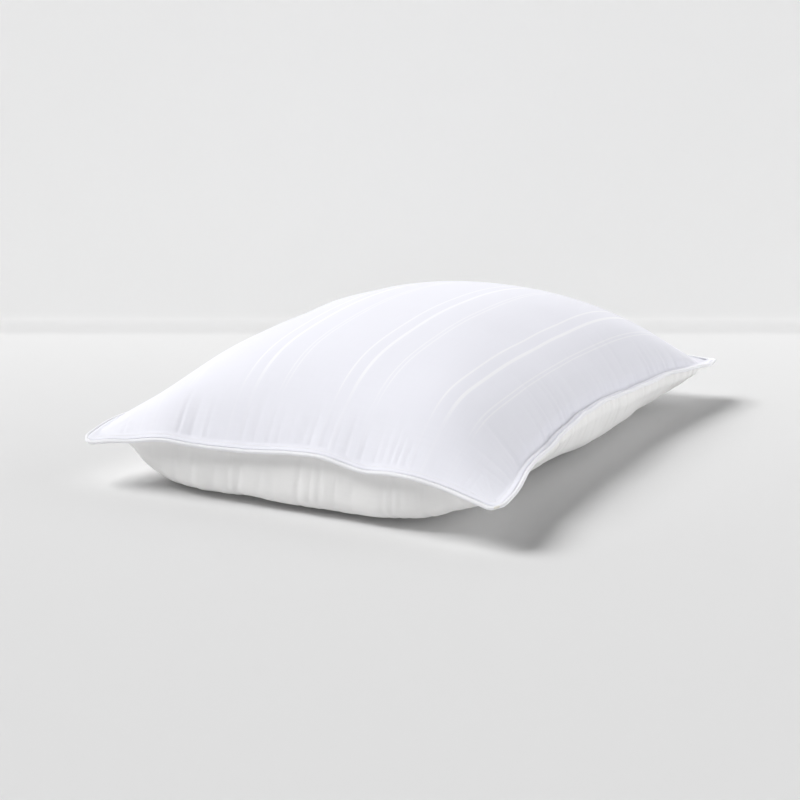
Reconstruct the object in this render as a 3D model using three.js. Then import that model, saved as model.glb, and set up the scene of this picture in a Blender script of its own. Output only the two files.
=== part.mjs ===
// A bed pillow: two sewn panels with a corded edge, stuffed with loose fibre.
//
// Units are millimetres. X runs along the long side, Y across, and +Z is up. The origin is on the
// surface that the pillow lies on, at the middle of its outline.
//
// Both panels turn in at the sewn edge. The two raw edges of the piping strip lie between their seam
// allowances, so a cut across the edge passes through one stack, from the top down:
//   top panel, seam thread, top panel's allowance, piping strip (two layers), label, bottom panel's
//   allowance, seam thread, bottom panel.
// Places in that cut are given as [out, up]: out is the distance outwards from the sewn edge line
// and up is the height above the middle of the stack.

import * as THREE from 'three';
import { LoftGeometry } from 'three/addons/geometries/LoftGeometry.js';
import { mergeGeometries, mergeVertices } from 'three/addons/utils/BufferGeometryUtils.js';

// Outline of the filled pillow, along the sewn edge line.
const SEAM_LENGTH = 662; // corner to corner along X
const SEAM_WIDTH = 475; // corner to corner along Y
const CORNER_RADIUS = 14;
const LONG_SIDE_PULL = 29; // how far the middle of each long side draws in
const SHORT_SIDE_PULL = 20; // how far the middle of each short side draws in

// Heights.
const SEAM_HEIGHT = 57; // middle of the edge stack above the surface underneath
const CROWN_RISE = 109; // top of the crown above the top panel's flat edge
const REST_SHARE = 0.7; // share of the outline that lies flat on the surface

// Curves of the two faces, as powers.
const CROWN_BEND = 3;
const CROWN_FULLNESS = 0.7;
const BELLY_BEND = 2.2;
const BELLY_FULLNESS = 0.6;

// Cloth, thread and the gap that is kept between two pieces that touch.
const CLOTH = 0.35;
const THREAD = 0.25;
const GAP = 0.2;

// The flat edge between the topstitching and the piping.
const FLANGE_WIDTH = 6;
const FOLD_SETBACK = 0.4; // the panels' folds stop this far short of the sewn edge line
const ALLOWANCE_PAST_CREASE = 3; // how far the seam allowances reach in beyond the crease
const SEAM_THREAD_INSET = 1.5;
const TOPSTITCH_FROM_CREASE = 0.8;
const CLOSING_ROW_SPACING = 2; // from the topstitching out to the row that closes the filling opening
const CLOSING_LENGTH = 230;

// Piping.
const CORD_RADIUS = 1.45;
const PIPING_CLOTH = 0.3;
const PIPING_PAST_CREASE = 1; // how far the strip's raw edges reach in beyond the crease
const PIPING_SETOUT = 0.5; // from the sewn edge line to the near side of the piping

// Labels, each a single leaf that is caught in the seam and hangs down outside it.
const LABEL_LEAF = 0.25;
const CARE_LABEL_WIDTH = 32;
const CONTENT_LABEL_WIDTH = 38;
const LABEL_FLOOR_CLEARANCE = 3;
const LABEL_STANDOFF = 8; // how far out from the piping a label hangs

// Fineness of the mesh.
const LONG_SIDE_STEPS = 12;
const SHORT_SIDE_STEPS = 8;
const CORNER_STEPS = 4;
const PIPING_STEPS = 8;
const CROWN_SHARES = [0.16, 0.34, 0.5, 0.65, 0.77, 0.87, 0.94, 0.985];
const BELLY_SHARES = [REST_SHARE, 0.8, 0.88, 0.94, 0.98];
const FILL_SHARE_LIMIT = 0.95; // the fibre doesn't reach into the creases beyond this share

// Heights of the layers in the edge stack, worked out from the middle.
const FOLD_GAP = GAP + THREAD + GAP;
const TAIL_TOP = GAP / 2 + PIPING_CLOTH;
const TOP_ALLOWANCE = TAIL_TOP + GAP;
const TOP_CLOTH = TOP_ALLOWANCE + CLOTH + FOLD_GAP;
const LABEL_TOP = -TAIL_TOP - GAP;
const BOTTOM_ALLOWANCE = LABEL_TOP - LABEL_LEAF - GAP;
const BOTTOM_CLOTH = BOTTOM_ALLOWANCE - CLOTH - FOLD_GAP;
const STACK_TOP = TOP_CLOTH + CLOTH;
const STACK_BOTTOM = BOTTOM_CLOTH - CLOTH;

// Places across the edge, as distances in from the sewn edge line.
const ALLOWANCE_END = FLANGE_WIDTH + ALLOWANCE_PAST_CREASE;
const FILL_RIM = ALLOWANCE_END + 4 * GAP;
const TOPSTITCH_INSET = FLANGE_WIDTH - TOPSTITCH_FROM_CREASE;
const CLOSING_INSET = TOPSTITCH_INSET - CLOSING_ROW_SPACING;
const PIPING_TAIL = FLANGE_WIDTH + PIPING_PAST_CREASE;
const LABEL_TAIL = FLANGE_WIDTH;

const PIPING_BORE = CORD_RADIUS + GAP * 1.5;
const PIPING_RADIUS = PIPING_BORE + PIPING_CLOTH;
const PIPING_CENTRE = PIPING_SETOUT + PIPING_RADIUS;

const CLOTH_WHITE = 0xf1f3fa;
const UNDERSIDE_WHITE = 0xf3f2ee;
const THREAD_WHITE = 0xfafafa;
const CORD_WHITE = 0xe9e6dc;
const FIBRE_WHITE = 0xfcfcfc;
const LABEL_WHITE = 0xf6f6f4;

/** Draws a point of the flat outline in, most at the middle of each side. */
function pullIn(x, y) {
  const alongX = 1 - (x / (SEAM_LENGTH / 2)) ** 2;
  const alongY = 1 - (y / (SEAM_WIDTH / 2)) ** 2;
  return new THREE.Vector2(
    x * (1 - (SHORT_SIDE_PULL / (SEAM_LENGTH / 2)) * alongY),
    y * (1 - (LONG_SIDE_PULL / (SEAM_WIDTH / 2)) * alongX),
  );
}

/** Makes a station of the sewn edge from a point and direction of the rectangle that it is sewn as. */
function makeStation(x, y, angle) {
  const reach = 0.5;
  const tangentX = -Math.sin(angle) * reach;
  const tangentY = Math.cos(angle) * reach;
  const ahead = pullIn(x + tangentX, y + tangentY);
  const behind = pullIn(x - tangentX, y - tangentY);
  const run = ahead.sub(behind).normalize();
  return { point: pullIn(x, y), out: new THREE.Vector2(run.y, -run.x), flat: new THREE.Vector2(x, y) };
}

/** Lists the stations along one rounded corner and the side that follows it, anticlockwise. */
function cornerAndSide(quarter) {
  const startAngle = (quarter * Math.PI) / 2;
  const acrossX = quarter % 2 === 0;
  const steps = acrossX ? LONG_SIDE_STEPS : SHORT_SIDE_STEPS;
  const signX = quarter === 0 || quarter === 3 ? 1 : -1;
  const signY = quarter < 2 ? 1 : -1;
  const centreX = signX * (SEAM_LENGTH / 2 - CORNER_RADIUS);
  const centreY = signY * (SEAM_WIDTH / 2 - CORNER_RADIUS);
  const stations = [];
  for (let step = 0; step <= CORNER_STEPS; step++) {
    const angle = startAngle + ((Math.PI / 2) * step) / CORNER_STEPS;
    const x = centreX + CORNER_RADIUS * Math.cos(angle);
    const y = centreY + CORNER_RADIUS * Math.sin(angle);
    stations.push(makeStation(x, y, angle));
  }
  const sideAngle = startAngle + Math.PI / 2;
  for (let step = 1; step < steps; step++) {
    const share = step / steps;
    const x = acrossX ? centreX * (1 - 2 * share) : signX * (SEAM_LENGTH / 2);
    const y = acrossX ? signY * (SEAM_WIDTH / 2) : centreY * (1 - 2 * share);
    stations.push(makeStation(x, y, sideAngle));
  }
  return stations;
}

const SEAM = [0, 1, 2, 3].flatMap(cornerAndSide);

/** Places [out, up] of the edge's cut at one station. */
function atStation(station, out, up) {
  const spot = station.out.clone().multiplyScalar(out).add(station.point);
  return new THREE.Vector3(spot.x, spot.y, SEAM_HEIGHT + up);
}

/** Makes a level ring round the whole edge. */
function edgeRing(out, up) {
  return SEAM.map((station) => atStation(station, out, up));
}

/** Makes a ring at a share of the way from the middle to the crease, raised by a height function. */
function faceRing(share, heightAt) {
  return SEAM.map((station) => {
    const spot = atStation(station, -FLANGE_WIDTH, 0).multiplyScalar(share);
    spot.z = heightAt(share, station);
    return spot;
  });
}

/** Gives the height of the top face: a crown that falls away to both pairs of sides. */
function crownHeight(share, station) {
  const u = Math.abs(station.flat.x / (SEAM_LENGTH / 2)) * share;
  const v = Math.abs(station.flat.y / (SEAM_WIDTH / 2)) * share;
  const rise = ((1 - u ** CROWN_BEND) * (1 - v ** CROWN_BEND)) ** CROWN_FULLNESS;
  return SEAM_HEIGHT + STACK_TOP + CROWN_RISE * rise;
}

/** Gives the height of the underside: flat in the middle, and rounding up to the edge. */
function bellyHeight(share) {
  const climb = Math.max(0, (share - REST_SHARE) / (1 - REST_SHARE));
  return (SEAM_HEIGHT + STACK_BOTTOM) * (1 - (1 - climb ** BELLY_BEND) ** BELLY_FULLNESS);
}

/** Moves the rings of a face into the pillow by a depth, square to the face. */
function insetRings(rings, outerRing, depth, inward) {
  const chain = [...rings, outerRing];
  return rings.map((ring, level) => {
    return ring.map((spot, index) => {
      if (level === 0) {
        return spot.clone().addScaledVector(inward, depth);
      }
      const before = ring[(index + ring.length - 1) % ring.length];
      const after = ring[(index + 1) % ring.length];
      const along = after.clone().sub(before);
      const outwards = chain[level + 1][index].clone().sub(chain[level - 1][index]);
      const square = outwards.cross(along).normalize();
      return spot.clone().addScaledVector(square, square.dot(inward) > 0 ? depth : -depth);
    });
  });
}

/** Makes a ring shrunk to the middle of another, which closes the end of a body. */
function poleOf(ring) {
  const middle = new THREE.Vector3();
  ring.forEach((spot) => middle.add(spot));
  middle.divideScalar(ring.length);
  return ring.map(() => middle.clone());
}

/** Makes an open skin through a stack of rings. */
function skinThrough(rings) {
  const skin = new THREE.BufferGeometry().copy(new LoftGeometry(rings, { closed: true }));
  skin.deleteAttribute('normal');
  skin.deleteAttribute('uv');
  return skin;
}

/** Makes a closed body from skins that meet edge to edge, with its faces outwards. */
function bodyFromSkins(skins) {
  const geometry = mergeVertices(mergeGeometries(skins), 1e-5);
  dropCollapsedFaces(geometry);
  if (signedVolume(geometry) < 0) {
    reverseFaces(geometry);
  }
  geometry.computeVertexNormals();
  return geometry;
}

/**
 * Closes two stacks of rings that start in the middle and end in the same ring. Both run outwards, so
 * two bodies that share a face cut its patches the same way and keep an even gap.
 */
function bodyFromFaces(front, back) {
  const frontSkin = skinThrough([poleOf(front[0]), ...front]);
  const backSkin = skinThrough([poleOf(back[0]), ...back]);
  reverseFaces(backSkin);
  return bodyFromSkins([frontSkin, backSkin]);
}

/** Closes one stack of rings at both ends. */
function bodyFromRings(rings) {
  return bodyFromSkins([skinThrough([poleOf(rings[0]), ...rings, poleOf(rings[rings.length - 1])])]);
}

/** Takes out the faces that have lost an edge, which is half of those at a pole. */
function dropCollapsedFaces(geometry) {
  const kept = [];
  for (let face = 0; face < geometry.index.count; face += 3) {
    const corners = [0, 1, 2].map((k) => geometry.index.getX(face + k));
    if (new Set(corners).size === 3) {
      kept.push(...corners);
    }
  }
  geometry.setIndex(kept);
}

/** Adds up the volume that a mesh encloses, which is negative when its faces point inwards. */
function signedVolume(geometry) {
  const spots = geometry.getAttribute('position');
  const corners = [new THREE.Vector3(), new THREE.Vector3(), new THREE.Vector3()];
  let volume = 0;
  for (let face = 0; face < geometry.index.count; face += 3) {
    corners.forEach((corner, k) => corner.fromBufferAttribute(spots, geometry.index.getX(face + k)));
    volume += corners[0].dot(corners[1].clone().cross(corners[2])) / 6;
  }
  return volume;
}

/** Turns every face of a mesh round. */
function reverseFaces(geometry) {
  for (let face = 0; face < geometry.index.count; face += 3) {
    const first = geometry.index.getX(face);
    geometry.index.setX(face, geometry.index.getX(face + 2));
    geometry.index.setX(face + 2, first);
  }
}

/** Runs a section of [out, up] points round the whole edge. */
function sweepRound(section) {
  const rings = SEAM.map((station) => section.map(([out, up]) => atStation(station, out, up)));
  return bodyFromSkins([skinThrough([...rings, rings[0]])]);
}

/** Runs a section of [out, up] points through a list of stations. */
function sweepAlong(section, stations) {
  return bodyFromRings(stations.map((station) => section.map(([out, up]) => atStation(station, out, up))));
}

/** Makes one panel: its face, the fold at the edge and the allowance that is turned in. */
function panelGeometry(faceRings, clothNear, allowanceNear, side) {
  const clothFar = clothNear + side * CLOTH;
  const allowanceFar = allowanceNear + side * CLOTH;
  const crease = edgeRing(-FLANGE_WIDTH, clothFar);
  const inward = new THREE.Vector3(0, 0, -side);
  const innerCrease = edgeRing(-FLANGE_WIDTH, clothNear);
  const front = [
    ...faceRings,
    crease,
    edgeRing(-FOLD_SETBACK, clothFar),
    edgeRing(-FOLD_SETBACK, allowanceNear),
    edgeRing(-ALLOWANCE_END, allowanceNear),
    edgeRing(-ALLOWANCE_END, allowanceFar),
    edgeRing(-FOLD_SETBACK - CLOTH, allowanceFar),
    edgeRing(-FOLD_SETBACK - CLOTH, clothNear),
    innerCrease,
  ];
  return bodyFromFaces(front, [...insetRings(faceRings, crease, CLOTH, inward), innerCrease]);
}

const crownRings = CROWN_SHARES.map((share) => faceRing(share, crownHeight));
const bellyRings = BELLY_SHARES.map((share) => faceRing(share, bellyHeight));

/** Makes the mass of loose fibre that the shell holds, a little clear of the cloth all round. */
function fillGeometry() {
  const depth = CLOTH + GAP;
  const within = (shares) => shares.filter((share) => share < FILL_SHARE_LIMIT).length;
  const down = new THREE.Vector3(0, 0, -1);
  const up = new THREE.Vector3(0, 0, 1);
  const top = insetRings(crownRings, edgeRing(-FLANGE_WIDTH, STACK_TOP), depth, down);
  const bottom = insetRings(bellyRings, edgeRing(-FLANGE_WIDTH, STACK_BOTTOM), depth, up);
  const rim = edgeRing(-FILL_RIM, 0);
  const front = [...top.slice(0, within(CROWN_SHARES)), rim];
  return bodyFromFaces(front, [...bottom.slice(0, within(BELLY_SHARES)), rim]);
}

/** Lists points on an arc about the piping's centre that leaves a slit for the strip's two tails. */
function pipingArc(radius, slit, turn) {
  const from = Math.PI - Math.asin(slit / radius);
  const arc = [];
  for (let step = 0; step <= PIPING_STEPS; step++) {
    const angle = from * (1 - (2 * step) / PIPING_STEPS) * turn;
    arc.push([PIPING_CENTRE + radius * Math.cos(angle), radius * Math.sin(angle)]);
  }
  return arc;
}

/** Makes the bias strip that wraps the cord, with both raw edges running into the seam. */
function pipingCoverGeometry() {
  return sweepRound([
    [-PIPING_TAIL, TAIL_TOP],
    ...pipingArc(PIPING_RADIUS, TAIL_TOP, 1),
    [-PIPING_TAIL, -TAIL_TOP],
    [-PIPING_TAIL, -GAP / 2],
    ...pipingArc(PIPING_BORE, GAP / 2, -1),
    [-PIPING_TAIL, GAP / 2],
  ]);
}

/** Makes the round filler cord inside the piping. */
function pipingCordGeometry() {
  const section = [];
  for (let step = 0; step < PIPING_STEPS; step++) {
    const angle = (2 * Math.PI * step) / PIPING_STEPS;
    section.push([PIPING_CENTRE + CORD_RADIUS * Math.cos(angle), CORD_RADIUS * Math.sin(angle)]);
  }
  return sweepRound(section);
}

/** Gives the square section of a thread that starts at a height and grows up or down from it. */
function threadSection(inset, near, side) {
  const far = near + side * THREAD;
  return [
    [-inset - THREAD / 2, near],
    [-inset + THREAD / 2, near],
    [-inset + THREAD / 2, far],
    [-inset - THREAD / 2, far],
  ];
}

/** Lists the stations of the filling opening, at the middle of the short side at +X. */
function closingStations() {
  const shortSide = SEAM.filter((station) => station.flat.x > SEAM_LENGTH / 2 - 1e-6);
  const inside = shortSide.filter((station) => Math.abs(station.flat.y) < CLOSING_LENGTH / 2);
  return inside.sort((one, other) => one.flat.y - other.flat.y);
}

/** Lists the middle line of a label: flat in the seam, round the fold, under the piping and down. */
function labelPath() {
  const inSeam = LABEL_TOP - LABEL_LEAF / 2;
  const under = -PIPING_RADIUS - GAP - LABEL_LEAF / 2;
  const farSide = PIPING_CENTRE + PIPING_RADIUS;
  const hangOut = farSide + LABEL_STANDOFF;
  return [
    [-LABEL_TAIL, inSeam],
    [-FOLD_SETBACK, inSeam],
    [PIPING_SETOUT * 0.4, inSeam - 2 * GAP],
    [PIPING_SETOUT * 0.9, under + 2 * GAP],
    [PIPING_CENTRE, under - GAP],
    [farSide, under - LABEL_STANDOFF * 0.1],
    [hangOut - LABEL_STANDOFF * 0.3, under - LABEL_STANDOFF * 0.55],
    [hangOut, under - LABEL_STANDOFF * 1.5],
    [hangOut, LABEL_FLOOR_CLEARANCE - SEAM_HEIGHT],
  ];
}

/** Gives the direction square to a path of [out, up] points at one of them. */
function squareToPath(path, index) {
  const before = path[Math.max(0, index - 1)];
  const after = path[Math.min(path.length - 1, index + 1)];
  return new THREE.Vector2(before[1] - after[1], after[0] - before[0]).normalize();
}

/** Hangs a label of a width on the long side at +Y, on the facet that is some steps from its middle. */
function labelGeometry(width, stepsFromMiddle) {
  const start = CORNER_STEPS + LONG_SIDE_STEPS / 2 + stepsFromMiddle;
  const [one, other] = [SEAM[start], SEAM[start + 1]];
  const middle = one.point.clone().add(other.point).multiplyScalar(0.5);
  const run = other.point.clone().sub(one.point).normalize();
  const out = new THREE.Vector2(run.y, -run.x);
  const sides = [-0.5, 0.5].map((share) => ({ point: middle.clone().addScaledVector(run, share * width), out }));
  const path = labelPath();
  const rings = path.map(([outwards, up], index) => {
    const square = squareToPath(path, index).multiplyScalar(LABEL_LEAF / 2);
    const [left, right] = sides;
    return [
      atStation(left, outwards + square.x, up + square.y),
      atStation(right, outwards + square.x, up + square.y),
      atStation(right, outwards - square.x, up - square.y),
      atStation(left, outwards - square.x, up - square.y),
    ];
  });
  return bodyFromRings(rings);
}

/** Makes a named mesh of one piece. */
function piece(name, geometry, color, roughness) {
  const material = new THREE.MeshStandardMaterial({ color, roughness, metalness: 0 });
  const mesh = new THREE.Mesh(geometry, material);
  mesh.name = name;
  return mesh;
}

/** Makes the needle and bobbin threads of one row of stitching, above and below the layers it joins. */
function stitchRow(name, inset, above, below, sweep) {
  return [
    piece(`${name}_needle_thread`, sweep(threadSection(inset, above, 1)), THREAD_WHITE, 0.6),
    piece(`${name}_bobbin_thread`, sweep(threadSection(inset, below, -1)), THREAD_WHITE, 0.6),
  ];
}

const pillow = new THREE.Group();
pillow.add(piece('top_panel', panelGeometry(crownRings, TOP_CLOTH, TOP_ALLOWANCE, 1), CLOTH_WHITE, 0.7));
pillow.add(
  piece('bottom_panel', panelGeometry(bellyRings, BOTTOM_CLOTH, BOTTOM_ALLOWANCE, -1), UNDERSIDE_WHITE, 0.8),
);
pillow.add(piece('fibre_fill', fillGeometry(), FIBRE_WHITE, 1));
pillow.add(piece('piping_cover', pipingCoverGeometry(), CLOTH_WHITE, 0.7));
pillow.add(piece('piping_cord', pipingCordGeometry(), CORD_WHITE, 0.9));
pillow.add(...stitchRow(
  'edge_seam', SEAM_THREAD_INSET, TOP_ALLOWANCE + CLOTH + GAP, BOTTOM_ALLOWANCE - CLOTH - GAP, sweepRound,
));
pillow.add(...stitchRow('topstitch', TOPSTITCH_INSET, STACK_TOP + GAP, STACK_BOTTOM - GAP, sweepRound));
pillow.add(...stitchRow(
  'closing', CLOSING_INSET, STACK_TOP + GAP, STACK_BOTTOM - GAP,
  (section) => sweepAlong(section, closingStations()),
));
pillow.add(piece('care_label', labelGeometry(CARE_LABEL_WIDTH, -3), LABEL_WHITE, 0.4));
pillow.add(piece('content_label', labelGeometry(CONTENT_LABEL_WIDTH, -2), LABEL_WHITE, 0.8));

export default pillow;
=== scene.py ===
"""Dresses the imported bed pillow: an inflated cloth shell, its corded edge, stitching, fill and labels.

Everything is in metres in the frame's own axes: X along the long side, Y across, and Z up from the
surface that the pillow lies on. The shell is made by a cloth simulation of two flat panels sewn
together round their edge. Its surface is then sampled to build each panel with its flat topstitched
edge and turned-in allowance, and the same edge carries the piping, the threads and the labels.
"""

import logging
import math
from dataclasses import dataclass, field
from enum import Enum

import bmesh
import bpy
import numpy as np
from mathutils import Matrix, Vector

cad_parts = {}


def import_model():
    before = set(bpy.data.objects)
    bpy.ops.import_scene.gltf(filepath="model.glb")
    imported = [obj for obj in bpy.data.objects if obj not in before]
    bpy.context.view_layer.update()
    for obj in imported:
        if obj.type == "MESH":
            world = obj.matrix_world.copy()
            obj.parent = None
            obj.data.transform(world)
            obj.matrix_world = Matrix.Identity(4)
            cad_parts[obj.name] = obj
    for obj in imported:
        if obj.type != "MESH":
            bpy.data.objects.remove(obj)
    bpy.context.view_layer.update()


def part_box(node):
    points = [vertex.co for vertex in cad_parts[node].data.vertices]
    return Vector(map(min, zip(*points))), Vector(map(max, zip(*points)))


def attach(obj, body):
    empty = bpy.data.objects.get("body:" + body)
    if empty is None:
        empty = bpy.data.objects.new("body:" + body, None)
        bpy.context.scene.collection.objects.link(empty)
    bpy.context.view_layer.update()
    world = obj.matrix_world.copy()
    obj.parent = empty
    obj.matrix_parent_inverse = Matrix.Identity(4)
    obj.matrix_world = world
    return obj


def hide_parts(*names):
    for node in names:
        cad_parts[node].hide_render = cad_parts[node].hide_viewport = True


LOG = logging.getLogger("pillow")
MM = 0.001
BODY = "root"
UP = np.array([0.0, 0.0, 1.0])
STRIPES_START = -190.75 * MM
STRIPES_REPEAT = 107 * MM
# Painted light: the stripes fade along X to a trace near the short -X side, standing in for bright light washing them
# out there; the cloth's own stripes run the whole length.
STRIPES_PAINTED_WASHOUT = (-285 * MM, -240 * MM)
STRIPES_WASHOUT_LEAST = 0.12
FLOAT, VECTOR = "NodeSocketFloat", "NodeSocketVector"


class Side(Enum):
    """The two panels of the shell, by the side of the seam that they lie on."""

    TOP = 1
    BOTTOM = -1


class Edge(Enum):
    """The four sides of the outline, by the direction that they face."""

    LEFT = (-1, 0)
    RIGHT = (1, 0)
    FRONT = (0, -1)
    BACK = (0, 1)

    @property
    def axis(self) -> int:
        """Gives the axis that the side faces along."""
        return 0 if self.value[0] else 1

    @property
    def facing(self) -> np.ndarray:
        """Gives the flat direction that the side faces."""
        return np.array(self.value, float)


# ---------------------------------------------------------------------------------------------
# Small helpers
# ---------------------------------------------------------------------------------------------


def mesh_from(bm: bmesh.types.BMesh, name: str) -> bpy.types.Mesh:
    """Turns a finished bmesh into a new mesh.

    Args:
        bm: The finished bmesh, which is freed.
        name: The mesh's name.

    Returns:
        The new mesh.
    """
    mesh = bpy.data.meshes.new(name)
    bm.to_mesh(mesh)
    bm.free()
    return mesh


def linked(name: str, data: bpy.types.ID) -> bpy.types.Object:
    """Makes an object for a mesh, light or camera and puts it in the scene.

    Args:
        name: The object's name.
        data: The mesh, light or camera.

    Returns:
        The new object.
    """
    made = bpy.data.objects.new(name, data)
    bpy.context.scene.collection.objects.link(made)
    return made


def beside(half: np.ndarray, place: np.ndarray, edge: Edge) -> tuple[np.ndarray, np.ndarray]:
    """Finds flat places from one side of the outline.

    Args:
        half: Half of the outline's length and width, in metres.
        place: The flat places.
        edge: The side.

    Returns:
        How far inside the side each place lies, and how far along it from its middle.
    """
    return half[edge.axis] - place @ edge.facing, place[..., 1 - edge.axis]


def unit(vectors: np.ndarray) -> np.ndarray:
    """Scales rows of vectors to length one."""
    return vectors / np.maximum(np.linalg.norm(vectors, axis=-1, keepdims=True), 1e-12)


def fade(distance: np.ndarray, reach: np.ndarray | float) -> np.ndarray:
    """Falls smoothly from one at no distance to zero at the reach."""
    share = np.clip(1 - distance / reach, 0, 1)
    return share * share * (3 - 2 * share)


def smoothed(grid: np.ndarray, spread: float) -> np.ndarray:
    """Smooths a grid of points, keeping its corners and the slopes at its border.

    Args:
        grid: The grid, as columns by rows by three.
        spread: How far a point is blended, in cells.

    Returns:
        The smooth grid.
    """
    reach = math.ceil(3 * spread)
    weights = np.exp(-0.5 * (np.arange(-reach, reach + 1) / spread) ** 2)
    weights /= weights.sum()
    for axis in (0, 1):
        lines = np.moveaxis(grid, axis, 0)
        before = 2 * lines[:1] - lines[reach:0:-1]
        after = 2 * lines[-1:] - lines[-2 : -reach - 2 : -1]
        padded = np.concatenate([before, lines, after])
        count = len(lines)
        lines = sum(weight * padded[k : k + count] for k, weight in enumerate(weights))
        grid = np.moveaxis(lines, 0, axis)
    return grid


class Wobble:
    """Smooth random values along a closed line."""

    def __init__(self, length: float, spacing: float, seed: int) -> None:
        """Draws the values at even places along the line.

        Args:
            length: The line's length in metres.
            spacing: The distance between two drawn values in metres.
            seed: The seed of the draw.
        """
        self.length = length
        self.count = max(4, round(length / spacing))
        self.values = np.random.default_rng(seed).uniform(-1, 1, self.count)

    @classmethod
    def through(cls, length: float, values: tuple[float, ...]) -> "Wobble":
        """Makes the line through given values at even places, the first of which is also the last.

        Args:
            length: The line's length in metres.
            values: The values at even places.

        Returns:
            The line.
        """
        made = cls(length, length, 0)
        made.values, made.count = np.array(values, float), len(values)
        return made

    def at(self, place: np.ndarray) -> np.ndarray:
        """Gives the value at places along the line.

        Args:
            place: Distances along the line in metres.

        Returns:
            Values from about minus one to one.
        """
        spot = np.mod(place / self.length, 1) * self.count
        first = np.floor(spot).astype(int)
        t = spot - first
        knots = [self.values[(first + k) % self.count] for k in (-1, 0, 1, 2)]
        slope_in = (knots[2] - knots[0]) / 2
        slope_out = (knots[3] - knots[1]) / 2
        gap = knots[1] - knots[2]
        cubic = 2 * gap + slope_in + slope_out
        square = -3 * gap - 2 * slope_in - slope_out
        return ((cubic * t + square) * t + slope_in) * t + knots[1]


class SmoothSheet:
    """A smooth surface through a regular grid of points."""

    def __init__(self, points: np.ndarray, length: float, width: float) -> None:
        """Keeps the grid with one more row all round, so that the surface ends at its border.

        Args:
            points: The grid, as an array of columns by rows by three.
            length: The flat size that the columns span, in metres.
            width: The flat size that the rows span, in metres.
        """
        self.columns, self.rows = points.shape[0] - 1, points.shape[1] - 1
        self.length, self.width = length, width
        for axis in (0, 1):
            lines = np.moveaxis(points, axis, 0)
            lines = np.concatenate([2 * lines[:1] - lines[1:2], lines, 2 * lines[-1:] - lines[-2:-1]])
            points = np.moveaxis(lines, 0, axis)
        self.grid = points

    @staticmethod
    def _weights(t: np.ndarray) -> list[np.ndarray]:
        """Gives the four weights of a cubic spline at a share of the way between two points.

        Args:
            t: Shares of the way, from zero to one.

        Returns:
            The weights of the points before, at both ends and after.
        """
        return [
            (1 - t) ** 3 / 6,
            (3 * t**3 - 6 * t**2 + 4) / 6,
            (-3 * t**3 + 3 * t**2 + 3 * t + 1) / 6,
            t**3 / 6,
        ]

    def at(self, x: np.ndarray, y: np.ndarray) -> np.ndarray:
        """Gives the surface's points at flat places.

        Args:
            x: Flat places along the length in metres, from the middle.
            y: Flat places along the width in metres, from the middle.

        Returns:
            An array of points, one for each place.
        """
        along = np.clip(x / self.length + 0.5, 0, 1) * self.columns
        across = np.clip(y / self.width + 0.5, 0, 1) * self.rows
        column = np.minimum(along.astype(int), self.columns - 1)
        row = np.minimum(across.astype(int), self.rows - 1)
        column_weights = self._weights(along - column)
        row_weights = self._weights(across - row)
        total = np.zeros((*np.shape(x), 3))
        for i, column_weight in enumerate(column_weights):
            for j, row_weight in enumerate(row_weights):
                total += (column_weight * row_weight)[..., None] * self.grid[column + i, row + j]
        return total


# ---------------------------------------------------------------------------------------------
# Sizes
# ---------------------------------------------------------------------------------------------


@dataclass(frozen=True)
class EdgeSizes:
    """Sizes across the sewn edge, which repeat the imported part's."""

    flange: float = 6 * MM
    allowance: float = 3 * MM
    topstitch: float = 0.8 * MM
    closing_row: float = 2.8 * MM
    closing_length: float = 230 * MM
    seam_row: float = 4.5 * MM
    cord_radius: float = 1.45 * MM
    piping_cloth: float = 0.3 * MM
    piping_gap: float = 0.3 * MM
    piping_setout: float = 0.5 * MM
    piping_tail: float = 7 * MM
    stack: float = 1.0 * MM
    turned: float = 0.4 * MM
    corner_radius: float = 3 * MM

    @property
    def piping_radius(self) -> float:
        """Gives the outer radius of the piping."""
        return self.cord_radius + self.piping_gap + self.piping_cloth

    @property
    def piping_out(self) -> float:
        """Gives the distance from the crease out to the piping's middle."""
        return self.flange + self.piping_setout + self.piping_radius


@dataclass(frozen=True)
class Push:
    """A soft local change to the settled shell: where, how far round it, and how high."""

    x: float
    y: float
    reach: float
    height: float
    sides: tuple[Side, ...] = (Side.TOP, Side.BOTTOM)


@dataclass(frozen=True)
class Pose:
    """How the filled shell settles: the edge's height and tilt at each side and corner."""

    corner_heights: dict[tuple[int, int], float] = field(
        default_factory=lambda: {(-1, -1): 46 * MM, (1, -1): 51 * MM, (-1, 1): 52 * MM, (1, 1): 54 * MM}
    )
    corner_reach: float = 0.12
    corner_slack: float = 2 * MM
    tilt: dict[Edge, float] = field(
        default_factory=lambda: {Edge.LEFT: -32.0, Edge.FRONT: 2.0, Edge.RIGHT: -14.0, Edge.BACK: -12.0}
    )
    tilt_wander: float = 5.0
    pushes: tuple[Push, ...] = (
        Push(-0.26, 0.18, 0.08, -11 * MM),
        Push(0.0, 0.14, 0.08, 4 * MM, (Side.TOP,)),
        Push(-0.09, -0.18, 0.08, 10 * MM, (Side.BOTTOM,)),
        Push(-0.21, -0.2, 0.07, 9 * MM, (Side.BOTTOM,)),
        Push(-0.25, -0.15, 0.055, 6 * MM, (Side.TOP,)),
    )
    edge_rise: dict[Edge, tuple[float, ...]] = field(
        default_factory=lambda: {
            Edge.LEFT: (0, 3, 5, 1, 6, 5, 0, -1, 0, -2),
            Edge.FRONT: (-2, -4, -3, -1.5, 1, 5, 5, 2, -2, -1, -1, -1),
            Edge.RIGHT: (0, 1, -2, 3, 1, -1, 2, 0),
            Edge.BACK: (0, 2, -1, 3, 4, 1, 3, -1, 2, 1),
        }
    )
    rise_reach: dict[Side, float] = field(default_factory=lambda: {Side.TOP: 0.075, Side.BOTTOM: 0.045})
    wave_height: float = 0.9 * MM
    wave_spacing: float = 0.026


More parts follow.
